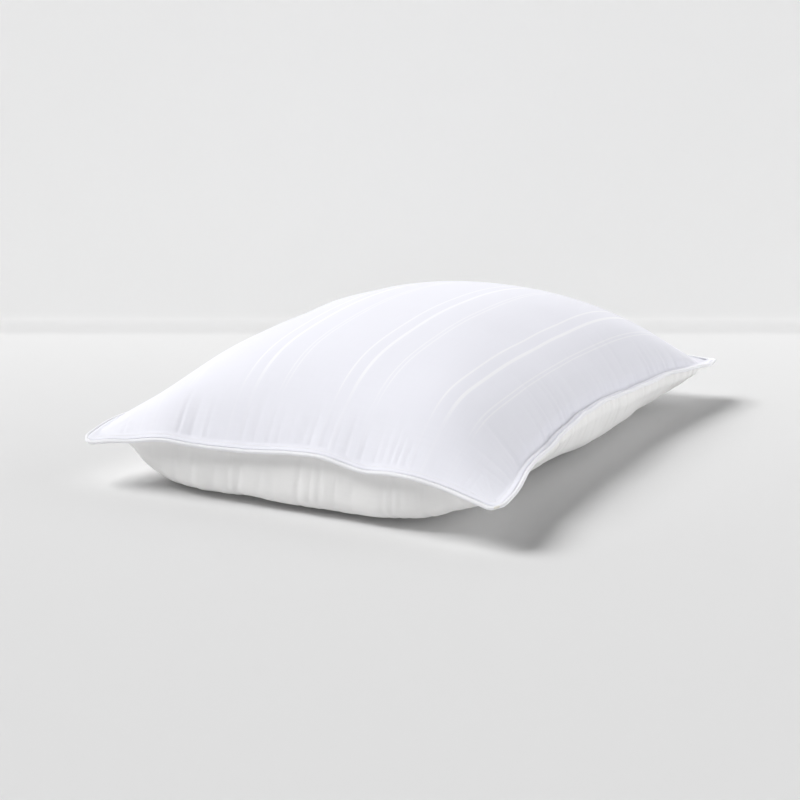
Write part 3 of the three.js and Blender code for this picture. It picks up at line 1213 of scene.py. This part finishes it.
    def label(self, name: str, centre: float, width: float, seed: int) -> bpy.types.Object:
        """Makes a label that is sewn into the back edge and hangs down outside it.

        Args:
            name: The object's name.
            centre: The label's middle along X, in metres.
            width: The label's width in metres.
            seed: The seed of its curl.

        Returns:
            The new object.
        """
        shell = self.shell
        across = np.linspace(-width / 2, width / 2, self.label_columns)
        crease = np.stack([centre + across, np.full(self.label_columns, shell.half[1])], -1)
        frames = shell.frames_at(crease, np.broadcast_to(Edge.BACK.facing, crease.shape))
        points = [frames.at(out * MM, up * MM) for out, up in self.label_path]
        top = points[-1]
        drop = np.linspace(0, 1, self.label_rows + 1)[1:]
        length = top[:, 2] - self.label_clearance
        draw = np.random.default_rng(seed).uniform(-1, 1, 3)
        for share in drop:
            bow = (1.5 + draw[0]) * MM * math.sin(share * 2.6)
            curl = 2.2 * MM * share * np.sin(across / width * 3.1 + draw[1]) * share
            spot = top - UP * (length * share)[:, None]
            points.append(spot + frames.out * (bow + curl + 1.5 * MM * share)[:, None])
        grid = np.stack(points, 1)
        middle = grid[self.label_columns // 2]
        girth = np.cumsum(np.linalg.norm(np.diff(middle, axis=0, prepend=middle[:1]), axis=1))
        flat = np.stack(np.broadcast_arrays(across[:, None], girth[None]), -1)
        return grid_object(name, grid, flat)


@dataclass
class Fill:
    """The fibre fill: the shell's inside, a little smaller and lumpy."""

    inset: float = 9 * MM
    gap: float = 3.2 * MM
    lump_height: float = 0.5 * MM
    lump_spacings: tuple[float, ...] = (0.05, 0.03, 0.021)
    columns: int = 84
    rows: int = 60
    seed: int = 5

    def build(self, name: str, shell: Shell) -> bpy.types.Object:
        """Makes the fill's object.

        Args:
            name: The object's name.
            shell: The shell that it fills.

        Returns:
            The new object.
        """
        half = shell.half - self.inset
        lines = (np.linspace(-half[0], half[0], self.columns), np.linspace(-half[1], half[1], self.rows))
        x, y = np.meshgrid(*lines, indexing="ij")
        place, _, _ = shell.round_corner(x, y)
        halfway = shell.middle(place) + UP * shell.lift(place)[..., None]
        border = np.zeros(x.shape, bool)
        border[[0, -1]] = border[:, [0, -1]] = True
        draw = np.random.default_rng(self.seed)
        sides = []
        for side in Side:
            lumps = sum(
                np.sin(place @ draw.uniform(-1, 1, 2) * 2 * math.pi / spacing + draw.uniform(0, 6))
                for spacing in self.lump_spacings
            )
            surface = shell.sheets[side].at(place[..., 0], place[..., 1])
            surface = surface + UP * shell.lift(place, side)[..., None]
            thick = surface - halfway
            depth = np.linalg.norm(thick, axis=-1, keepdims=True)
            gap = self.gap + self.lump_height * lumps[..., None]
            keep = np.clip(1 - gap / np.maximum(depth, 1e-6), 0, 1)
            keep[border] = 0
            sides.append(halfway + thick * keep)
        grid = np.concatenate([sides[0], sides[1][:, ::-1]], 1)
        flat = np.concatenate([place, place[:, ::-1]], 1)
        return grid_object(name, grid, flat, closed=True)


# ---------------------------------------------------------------------------------------------
# Finishes
# ---------------------------------------------------------------------------------------------


class Graph:
    """Builds one node tree with short calls."""

    def __init__(self, tree: bpy.types.NodeTree) -> None:
        """Takes the tree to build in."""
        self.tree = tree

    def node(self, kind: str, inputs: dict | None = None, **settings: object) -> bpy.types.Node:
        """Adds a node.

        Args:
            kind: The node's type.
            inputs: Values or sockets for its inputs, by name or number.
            **settings: The node's own settings.

        Returns:
            The new node.
        """
        made = self.tree.nodes.new(kind)
        for key, value in settings.items():
            setattr(made, key, value)
        for key, value in (inputs or {}).items():
            if isinstance(value, bpy.types.NodeSocket):
                self.tree.links.new(value, made.inputs[key])
            else:
                made.inputs[key].default_value = value
        return made

    def math(self, operation: str, *values: object, clamp: bool = False) -> bpy.types.NodeSocket:
        """Adds a sum of numbers or sockets and gives its result."""
        made = self.node("ShaderNodeMath", dict(enumerate(values)), operation=operation, use_clamp=clamp)
        return made.outputs[0]

    def group(self, group: bpy.types.NodeTree, inputs: dict) -> bpy.types.Node:
        """Adds a node group with its inputs set."""
        return self.node("ShaderNodeGroup", inputs, node_tree=group)


def new_group(
    name: str, inputs: dict[str, tuple[str, float | None]], outputs: dict[str, str]
) -> tuple[Graph, bpy.types.Node, bpy.types.Node]:
    """Starts a shader node group.

    Args:
        name: The group's name.
        inputs: The type and default value of each input.
        outputs: The type of each output.

    Returns:
        The group's graph, and its input and output nodes.
    """
    tree = bpy.data.node_groups.new(name, "ShaderNodeTree")
    for key, (kind, value) in inputs.items():
        made = tree.interface.new_socket(key, in_out="INPUT", socket_type=kind)
        if value is not None:
            made.default_value = value
    for key, kind in outputs.items():
        tree.interface.new_socket(key, in_out="OUTPUT", socket_type=kind)
    graph = Graph(tree)
    return graph, graph.node("NodeGroupInput"), graph.node("NodeGroupOutput")


def weave_group() -> bpy.types.NodeTree:
    """Makes the group that gives the height and tone of a plain weave with uneven yarn.

    Returns:
        The new group.
    """
    graph, given, result = new_group(
        "plain_weave",
        {"Vector": (VECTOR, None), "Yarn Pitch": (FLOAT, 0.0004), "Unevenness": (FLOAT, 0.5)},
        {"Height": FLOAT, "Tone": FLOAT},
    )
    place = graph.node("ShaderNodeSeparateXYZ", {0: given.outputs["Vector"]})
    pitch = given.outputs["Yarn Pitch"]
    turn = [
        graph.math("SINE", graph.math("DIVIDE", graph.math("MULTIPLY", place.outputs[axis], math.pi), pitch))
        for axis in ("X", "Y")
    ]
    over = graph.math("MULTIPLY_ADD", graph.math("MULTIPLY", *turn), 0.5, 0.5)
    slubs = []
    for stretch in ((25.0, 900.0, 1.0), (900.0, 25.0, 1.0)):
        spot = graph.node("ShaderNodeVectorMath", {0: given.outputs["Vector"], 1: stretch}, operation="MULTIPLY")
        noise = graph.node(
            "ShaderNodeTexNoise", {"Vector": spot.outputs[0], "Scale": 1.0, "Detail": 2.0, "Roughness": 0.55}
        )
        slubs.append(noise.outputs["Fac"])
    slub = graph.math("SUBTRACT", graph.math("ADD", *slubs), 1.0)
    uneven = graph.math("MULTIPLY", slub, given.outputs["Unevenness"])
    graph.tree.links.new(graph.math("ADD", over, uneven), result.inputs["Height"])
    graph.tree.links.new(graph.math("MULTIPLY_ADD", uneven, 0.06, 1.0), result.inputs["Tone"])
    return graph.tree


def line_group() -> bpy.types.NodeTree:
    """Makes the group that gives a soft-edged line at one place across a cloth.

    Returns:
        The new group.
    """
    graph, given, result = new_group(
        "woven_line",
        {"Place": (FLOAT, 0.0), "Centre": (FLOAT, 0.0), "Half Width": (FLOAT, 0.001), "Softness": (FLOAT, 0.0004)},
        {"Mask": FLOAT},
    )
    away = graph.math("ABSOLUTE", graph.math("SUBTRACT", given.outputs["Place"], given.outputs["Centre"]))
    past = graph.math("SUBTRACT", given.outputs["Half Width"], away)
    mask = graph.math("MULTIPLY_ADD", graph.math("DIVIDE", past, given.outputs["Softness"]), 0.5, 0.5, clamp=True)
    graph.tree.links.new(mask, result.inputs["Mask"])
    return graph.tree


def stripe_group(line: bpy.types.NodeTree) -> bpy.types.NodeTree:
    """Makes the group that repeats a set of woven lines across a cloth.

    Args:
        line: The group that gives one line.

    Returns:
        The new group.
    """
    graph, given, result = new_group(
        "woven_stripes",
        {"Vector": (VECTOR, None), "First": (FLOAT, 0.0), "Repeat": (FLOAT, 0.105)},
        {"Mask": FLOAT},
    )
    place = graph.node("ShaderNodeSeparateXYZ", {0: given.outputs["Vector"]})
    start = graph.math("SUBTRACT", place.outputs["Y"], given.outputs["First"])
    share = graph.math("FLOORED_MODULO", start, given.outputs["Repeat"])
    total = None
    for line_set in STRIPES:
        made = graph.group(
            line, {"Place": share, "Centre": line_set.centre, "Half Width": line_set.width / 2, "Softness": 0.5 * MM}
        )
        mask = graph.math("MULTIPLY", made.outputs["Mask"], line_set.strength)
        total = mask if total is None else graph.math("MAXIMUM", total, mask)
    graph.tree.links.new(total, result.inputs["Mask"])
    return graph.tree


@dataclass(frozen=True)
class Stripe:
    """One line of the woven pattern: where it lies in the repeat, and how wide and strong it is."""

    centre: float
    width: float
    strength: float


STRIPES = (
    Stripe(4.0 * MM, 1.4 * MM, 0.62),
    Stripe(8.5 * MM, 1.4 * MM, 0.62),
    Stripe(36.5 * MM, 3.6 * MM, 0.8),
    Stripe(51.5 * MM, 2.0 * MM, 0.8),
)


@dataclass(frozen=True)
class ClothFinish:
    """How a woven cloth looks."""

    name: str
    slot: str
    colour: tuple[float, float, float]
    yarn_pitch: float = 0.4 * MM
    relief: float = 0.012 * MM
    unevenness: float = 0.5
    roughness: float = 0.85
    sheen: float = 0.15
    bias: float = 0.0


@dataclass(frozen=True)
class PlainFinish:
    """How a piece without a weave looks."""

    name: str
    slot: str
    colour: tuple[float, float, float]
    grain: float
    relief: float
    stretch: tuple[float, float, float] = (1.0, 1.0, 1.0)
    roughness: float = 0.8
    sheen: float = 0.0


TOP_COLOUR = (0.835, 0.837, 0.90)
STRIPE_COLOUR = (0.935, 0.935, 0.965)
FINISHES = {
    "top": ClothFinish("striped_cotton", "top_cloth", TOP_COLOUR),
    "bottom": ClothFinish("plain_cotton", "bottom_cloth", (0.88, 0.875, 0.87)),
    "piping": ClothFinish("bias_cotton", "piping_cloth", (0.90, 0.90, 0.93), bias=math.pi / 4),
    "satin": ClothFinish("label_satin", "label_satin", (0.88, 0.88, 0.87), 0.16 * MM, 0.004 * MM, 0.2, 0.38, 0.3),
    "fibre": PlainFinish("polyester_fibre", "fibre", (0.90, 0.90, 0.89), 900.0, 0.5 * MM),
    "cord": PlainFinish("cotton_cord", "filler_cord", (0.82, 0.80, 0.75), 1400.0, 0.12 * MM, (0.2, 1.0, 1.0)),
    "thread": PlainFinish(
        "sewing_thread", "sewing_thread", (0.90, 0.90, 0.92), 6000.0, 0.03 * MM, (0.3, 1.0, 1.0), 0.6, 0.2
    ),
    "nonwoven": PlainFinish("label_nonwoven", "label_nonwoven", (0.86, 0.86, 0.84), 2200.0, 0.03 * MM),
}


class Finisher:
    """Makes the materials and puts them on the pieces."""

    def __init__(self) -> None:
        """Makes the shared node groups."""
        self.weave = weave_group()
        self.stripes = stripe_group(line_group())
        self.made: dict[str, bpy.types.Material] = {}

    def apply(self, piece: bpy.types.Object, key: str) -> None:
        """Gives a piece the material of a finish.

        Args:
            piece: The piece.
            key: The finish's key.
        """
        finish = FINISHES[key]
        if key not in self.made:
            maker = self._cloth if isinstance(finish, ClothFinish) else self._plain
            self.made[key] = maker(finish)
        piece.data.materials.clear()
        piece.data.materials.append(self.made[key])

    def _start(self, finish: ClothFinish | PlainFinish) -> tuple[bpy.types.Material, Graph, bpy.types.Node]:
        """Starts a material with the finish's fixed values.

        Args:
            finish: The finish.

        Returns:
            The material, its graph and its shader node.
        """
        material = bpy.data.materials.new(finish.name)
        material.use_nodes = True
        material.diffuse_color = (*finish.colour, 1.0)
        graph = Graph(material.node_tree)
        shader = material.node_tree.nodes["Principled BSDF"]
        shader.inputs["Base Color"].default_value = (*finish.colour, 1.0)
        shader.inputs["Roughness"].default_value = finish.roughness
        shader.inputs["Sheen Weight"].default_value = finish.sheen
        shader.inputs["Sheen Roughness"].default_value = 0.5
        shader.inputs["Specular IOR Level"].default_value = 0.25
        return material, graph, shader

    def _cloth(self, finish: ClothFinish) -> bpy.types.Material:
        """Makes a woven cloth.

        Args:
            finish: The finish.

        Returns:
            The material.
        """
        material, graph, shader = self._start(finish)
        place = graph.node("ShaderNodeUVMap", uv_map="flat").outputs["UV"]
        turned = graph.node("ShaderNodeMapping", {"Vector": place, "Rotation": (0.0, 0.0, finish.bias)})
        weave = graph.group(
            self.weave,
            {"Vector": turned.outputs[0], "Yarn Pitch": finish.yarn_pitch, "Unevenness": finish.unevenness},
        )
        colour = graph.node("ShaderNodeRGB").outputs[0]
        colour.default_value = (*finish.colour, 1.0)
        height = graph.math("MULTIPLY", weave.outputs["Height"], finish.relief)
        if finish.slot == "top_cloth":
            stripes = graph.group(self.stripes, {"Vector": place, "First": STRIPES_START, "Repeat": STRIPES_REPEAT})
            # Painted light: the stripe mask is faded towards the short -X side to copy stripes washed out by bright
            # light, so the fade shows under any light.
            length = graph.node("ShaderNodeSeparateXYZ", {0: place}).outputs["X"]
            plain, full = STRIPES_PAINTED_WASHOUT
            washout_fade = graph.node(
                "ShaderNodeMapRange", {0: length, 1: plain, 2: full, 3: STRIPES_WASHOUT_LEAST, 4: 1.0}
            )
            mask = graph.math("MULTIPLY", stripes.outputs["Mask"], washout_fade.outputs[0])
            mixed = graph.node("ShaderNodeMix", {"Factor": mask, 6: colour, 7: (*STRIPE_COLOUR, 1.0)}, data_type="RGBA")
            colour = mixed.outputs[2]
            height = graph.math("MULTIPLY_ADD", mask, 0.08 * MM, height)
        toned = graph.node("ShaderNodeVectorMath", {0: colour, 3: weave.outputs["Tone"]}, operation="SCALE")
        bump = graph.node("ShaderNodeBump", {"Strength": 0.6, "Distance": 1.0, "Height": height})
        graph.tree.links.new(toned.outputs[0], shader.inputs["Base Color"])
        graph.tree.links.new(bump.outputs[0], shader.inputs["Normal"])
        return material

    def _plain(self, finish: PlainFinish) -> bpy.types.Material:
        """Makes a finish with a grain instead of a weave.

        Args:
            finish: The finish.

        Returns:
            The material.
        """
        material, graph, shader = self._start(finish)
        place = graph.node("ShaderNodeTexCoord").outputs["Object"]
        spot = graph.node("ShaderNodeVectorMath", {0: place, 1: finish.stretch}, operation="MULTIPLY")
        noise = graph.node(
            "ShaderNodeTexNoise", {"Vector": spot.outputs[0], "Scale": finish.grain, "Detail": 3.0, "Roughness": 0.6}
        )
        height = graph.math("MULTIPLY", noise.outputs["Fac"], finish.relief)
        bump = graph.node("ShaderNodeBump", {"Strength": 0.5, "Distance": 1.0, "Height": height})
        graph.tree.links.new(bump.outputs[0], shader.inputs["Normal"])
        return material


# ---------------------------------------------------------------------------------------------
# Studio
# ---------------------------------------------------------------------------------------------


@dataclass(frozen=True)
class View:
    """Where the camera stands and looks."""

    place: tuple[float, float, float] = (-1.6882, -0.84, 0.5143)
    down: float = 14.0
    yaw: float = 62.539
    lens: float = 76.5


@dataclass(frozen=True)
class Studio:
    """The camera, the lights and the pale floor."""

    wall_distance: float = 0.60
    wall_height: float = 1.2
    cove: float = 0.03
    floor_reach: float = 6.0
    ground_reach: float = 12.0
    ground_drop: float = 0.5 * MM
    key_elevation: float = 52.0
    key_azimuth: float = 109.0
    key_distance: float = 3.0
    key_spread: float = 36.0
    key_power: float = 2.88
    key_colour: tuple[float, float, float] = (1.0, 1.0, 1.0)
    fill_elevation: float = 12.0
    fill_azimuth: float = -64.0
    fill_spread: float = 60.0
    fill_power: float = 1.22
    horizon: float = 1.15
    zenith: float = 0.02
    key_side: tuple[float, float, float] = (-0.17, 0.985, 0.0)
    key_side_dimming: float = 0.4
    floor_colour: tuple[float, float, float] = (0.71, 0.71, 0.71)
    wall_glow: float = 0.3
    glow_heights: tuple[float, float] = (0.003, 0.02)

    def build(self, view: View) -> None:
        """Builds the studio.

        Args:
            view: Where the camera stands and looks.
        """
        self._camera(view)
        self._floor(view)
        self._lights()
        scene = bpy.context.scene
        scene.view_settings.view_transform = "Standard"
        scene.view_settings.look = "None"
        scene.view_settings.exposure = 0.0
        scene.view_settings.gamma = 1.0

    def _camera(self, view: View) -> None:
        """Places the camera.

        Args:
            view: Where the camera stands and looks.
        """
        data = bpy.data.cameras.new("camera")
        data.lens = view.lens
        data.sensor_width = 36.0
        data.clip_start, data.clip_end = 0.05, 50.0
        camera = linked("camera", data)
        down, yaw = math.radians(view.down), math.radians(view.yaw)
        look = Vector((math.cos(down) * math.sin(yaw), math.cos(down) * math.cos(yaw), -math.sin(down)))
        camera.location = view.place
        camera.rotation_mode = "QUATERNION"
        camera.rotation_quaternion = look.to_track_quat("-Z", "Y")
        bpy.context.scene.camera = camera

    def _floor(self, view: View) -> None:
        """Makes the floor, which sweeps up into a wall behind the pillow.

        Args:
            view: Where the camera stands and looks.
        """
        bm = bmesh.new()
        bmesh.ops.create_grid(bm, x_segments=1, y_segments=1, size=1.0)
        for vert in bm.verts:
            vert.co.x *= self.floor_reach
            vert.co.y = self.wall_distance if vert.co.y > 0 else -self.floor_reach
        back = [edge for edge in bm.edges if all(vert.co.y > 0 for vert in edge.verts)]
        raised = bmesh.ops.extrude_edge_only(bm, edges=back)
        upper = [found for found in raised["geom"] if isinstance(found, bmesh.types.BMVert)]
        bmesh.ops.translate(bm, verts=upper, vec=(0, 0, self.wall_height))
        bmesh.ops.bevel(
            bm, geom=back, offset=self.cove, offset_type="OFFSET", segments=8, profile=0.5, affect="EDGES", material=-1
        )
        bmesh.ops.recalc_face_normals(bm, faces=bm.faces)
        if next(iter(bm.faces)).normal.z < 0 or sum(face.normal.z for face in bm.faces) < 0:
            bmesh.ops.reverse_faces(bm, faces=bm.faces)
        bmesh.ops.rotate(bm, verts=bm.verts, matrix=self._turn(view.yaw), cent=(0, 0, 0))
        below = bmesh.ops.create_grid(bm, x_segments=1, y_segments=1, size=self.ground_reach)
        bmesh.ops.translate(bm, verts=below["verts"], vec=(0, 0, -self.ground_drop))
        mesh = mesh_from(bm, "studio_floor")
        mesh.shade_smooth()
        floor = linked("studio_floor", mesh)
        material = bpy.data.materials.new("studio_floor")
        material.use_nodes = True
        graph = Graph(material.node_tree)
        shader = material.node_tree.nodes["Principled BSDF"]
        shader.inputs["Base Color"].default_value = (*self.floor_colour, 1.0)
        shader.inputs["Roughness"].default_value = 0.9
        shader.inputs["Specular IOR Level"].default_value = 0.1
        shader.inputs["Emission Color"].default_value = (1.0, 1.0, 1.0, 1.0)
        place = graph.node("ShaderNodeSeparateXYZ", {0: graph.node("ShaderNodeTexCoord").outputs["Object"]})
        start, full = self.glow_heights
        glow = graph.node(
            "ShaderNodeMapRange", {0: place.outputs["Z"], 1: start, 2: full, 3: 0.0, 4: self.wall_glow}
        )
        graph.tree.links.new(glow.outputs[0], shader.inputs["Emission Strength"])
        away = graph.node("ShaderNodeBsdfTransparent")
        facing = graph.node("ShaderNodeNewGeometry")
        shade = graph.node("ShaderNodeLightPath").outputs["Is Shadow Ray"]
        lets_light = graph.math("MULTIPLY", shade, graph.math("GREATER_THAN", place.outputs["Z"], 0.001))
        clear = graph.math("MAXIMUM", facing.outputs["Backfacing"], lets_light)
        mix = graph.node("ShaderNodeMixShader", {0: clear, 1: shader.outputs[0], 2: away.outputs[0]})
        graph.tree.links.new(mix.outputs[0], material.node_tree.nodes["Material Output"].inputs["Surface"])
        mesh.materials.append(material)

    @staticmethod
    def _turn(yaw: float) -> Matrix:
        """Gives the turn that faces the wall to the camera."""
        return Matrix.Rotation(-math.radians(yaw), 3, "Z")

    def _sun(self, name: str, elevation: float, azimuth: float, spread: float, power: float) -> bpy.types.Light:
        """Makes one distant soft light.

        Args:
            name: The light's name.
            elevation: How high it stands, in degrees.
            azimuth: Which way it stands, in degrees from the length's direction.
            spread: How wide it looks, in degrees.
            power: Its strength.

        Returns:
            The light's data.
        """
        data = bpy.data.lights.new(name, "SUN")
        data.angle = math.radians(spread)
        data.energy = power
        data.color = self.key_colour
        light = linked(name, data)
        high, around = math.radians(elevation), math.radians(azimuth)
        away = Vector((math.cos(high) * math.cos(around), math.cos(high) * math.sin(around), math.sin(high)))
        light.location = away * self.key_distance
        light.rotation_mode = "QUATERNION"
        light.rotation_quaternion = away.to_track_quat("Z", "Y")
        return data

    def _lights(self) -> None:
        """Makes the key and fill lights and the soft surrounding light."""
        self._sun("key", self.key_elevation, self.key_azimuth, self.key_spread, self.key_power)
        fill = self._sun("fill", self.fill_elevation, self.fill_azimuth, self.fill_spread, self.fill_power)
        fill.use_shadow = False
        world = bpy.data.worlds.new("studio")
        world.use_nodes = True
        graph = Graph(world.node_tree)
        direction = graph.node("ShaderNodeTexCoord").outputs["Generated"]
        height = graph.node("ShaderNodeSeparateXYZ", {0: direction}).outputs["Z"]
        low = graph.math("POWER", graph.math("SUBTRACT", 1.0, graph.math("MAXIMUM", height, 0.0)), 2.0)
        toward = graph.node("ShaderNodeVectorMath", {0: direction, 1: self.key_side}, operation="DOT_PRODUCT")
        toward = graph.math("MAXIMUM", toward.outputs["Value"], 0.0)
        dimmed = graph.math("MULTIPLY_ADD", toward, -self.key_side_dimming, 1.0)
        strength = graph.math("MULTIPLY_ADD", low, self.horizon - self.zenith, self.zenith)
        strength = graph.math("MULTIPLY", strength, dimmed)
        world.node_tree.links.new(strength, world.node_tree.nodes["Background"].inputs["Strength"])
        world.node_tree.nodes["Background"].inputs["Color"].default_value = (1.0, 1.0, 1.0, 1.0)
        bpy.context.scene.world = world


# ---------------------------------------------------------------------------------------------
# The pillow
# ---------------------------------------------------------------------------------------------


@dataclass
class Pillow:
    """Builds every piece, dresses it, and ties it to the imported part."""

    top_gathers: dict[Edge, Gather] = field(
        default_factory=lambda: {
            Edge.LEFT: Gather(0.5 * MM, 75 * MM, 3.5 * MM),
            Edge.FRONT: Gather(0.65 * MM, 72 * MM, 4.4 * MM),
            Edge.RIGHT: Gather(0.5 * MM, 40 * MM, 5.0 * MM),
            Edge.BACK: Gather(0.6 * MM, 45 * MM, 5.0 * MM),
        }
    )
    bottom_gathers: dict[Edge, Gather] = field(
        default_factory=lambda: {
            Edge.LEFT: Gather(0.8 * MM, 110 * MM, 4.6 * MM),
            Edge.FRONT: Gather(1.1 * MM, 70 * MM, 5.0 * MM),
            Edge.RIGHT: Gather(0.8 * MM, 60 * MM, 6.0 * MM),
            Edge.BACK: Gather(0.8 * MM, 60 * MM, 6.0 * MM),
        }
    )
    top_fan: float = 0.35 * MM
    bottom_fan: float = 1.0 * MM
    top_swell: dict[Edge, Swell] = field(
        default_factory=lambda: {
            Edge.FRONT: Swell(2.5 * MM),
            Edge.RIGHT: Swell(2.0 * MM),
            Edge.BACK: Swell(2.0 * MM),
        }
    )
    bottom_swell: dict[Edge, Swell] = field(
        default_factory=lambda: {
            Edge.LEFT: Swell(32.0 * MM, 100 * MM, 34 * MM, 140 * MM),
            Edge.FRONT: Swell(8.0 * MM, 75 * MM, 14 * MM, 45 * MM),
            Edge.RIGHT: Swell(2.0 * MM),
        }
    )
    closing_start: float = 0.115
    topstitch_height: float = 0.86
    closing_height: float = 1.08
    seam_height: float = 1.35

    def __post_init__(self) -> None:
        """Makes the shell that the pieces are built on."""
        self.shell = Shell(EdgeSizes(), Pose())
        self.edge_parts = EdgeParts(self.shell)
        self.finisher = Finisher()

    def _join(self, piece: bpy.types.Object, key: str, node: str) -> bpy.types.Object:
        """Dresses a piece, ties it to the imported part's body, and lets it stand for a node.

        Args:
            piece: The piece.
            key: Its finish's key.
            node: The node that it stands for.

        Returns:
            The piece.
        """
        self.finisher.apply(piece, key)
        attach(piece, BODY)
        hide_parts(node)
        LOG.info("%s: %d faces", piece.name, len(piece.data.polygons))
        return piece

    def build(self) -> None:
        """Builds every piece of the pillow."""
        shell, parts = self.shell, self.edge_parts
        top_folds = Gathers(shell, self.top_gathers, self.top_fan, seed=100)
        top = Panel(shell, Side.TOP, top_folds, self.top_swell)
        top_cloth = self._join(top.build("top_cloth_panel"), "top", "top_panel")
        bottom_folds = Gathers(shell, self.bottom_gathers, self.bottom_fan, seed=200)
        bottom = Panel(shell, Side.BOTTOM, bottom_folds, self.bottom_swell)
        bottom_cloth = self._join(bottom.build("bottom_cloth_panel"), "bottom", "bottom_panel")
        fill = self._join(Fill().build("fibre_filling", shell), "fibre", "fibre_fill")
        piping = self._join(parts.piping("piping_strip"), "piping", "piping_cover")
        self._join(parts.cord("piping_filler"), "cord", "piping_cord")
        self._stitches()
        self._labels()

    def _stitches(self) -> None:
        """Sews the rows of stitches."""
        edge, parts = self.shell.edge, self.edge_parts
        outer = edge.stack * self.topstitch_height
        inner = edge.turned * self.seam_height
        self._join(parts.thread("topstitch_upper", edge.topstitch, outer), "thread", "topstitch_needle_thread")
        self._join(parts.thread("topstitch_lower", edge.topstitch, -outer), "thread", "topstitch_bobbin_thread")
        self._join(parts.thread("edge_seam_upper", edge.seam_row, inner), "thread", "edge_seam_needle_thread")
        self._join(parts.thread("edge_seam_lower", edge.seam_row, -inner), "thread", "edge_seam_bobbin_thread")
        outer = edge.stack * self.closing_height
        closing = (self.closing_start, edge.closing_length)
        upper = parts.thread("closing_row_upper", edge.closing_row, outer, *closing)
        lower = parts.thread("closing_row_lower", edge.closing_row, -outer, *closing)
        self._join(upper, "thread", "closing_needle_thread")
        self._join(lower, "thread", "closing_bobbin_thread")

    def _labels(self) -> None:
        """Hangs the two labels from the back edge."""
        for name, node, key, seed in (
            ("care_label_ribbon", "care_label", "satin", 3),
            ("content_label_ribbon", "content_label", "nonwoven", 4),
        ):
            low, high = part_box(node)
            width = high.x - low.x
            label = self.edge_parts.label(name, (low.x + high.x) / 2, width, seed)
            self._join(label, key, node)


def main() -> None:
    """Builds the scene."""
    logging.basicConfig(level=logging.INFO)
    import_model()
    Pillow().build()
    Studio().build(View())


if __name__ == "__main__":
    main()
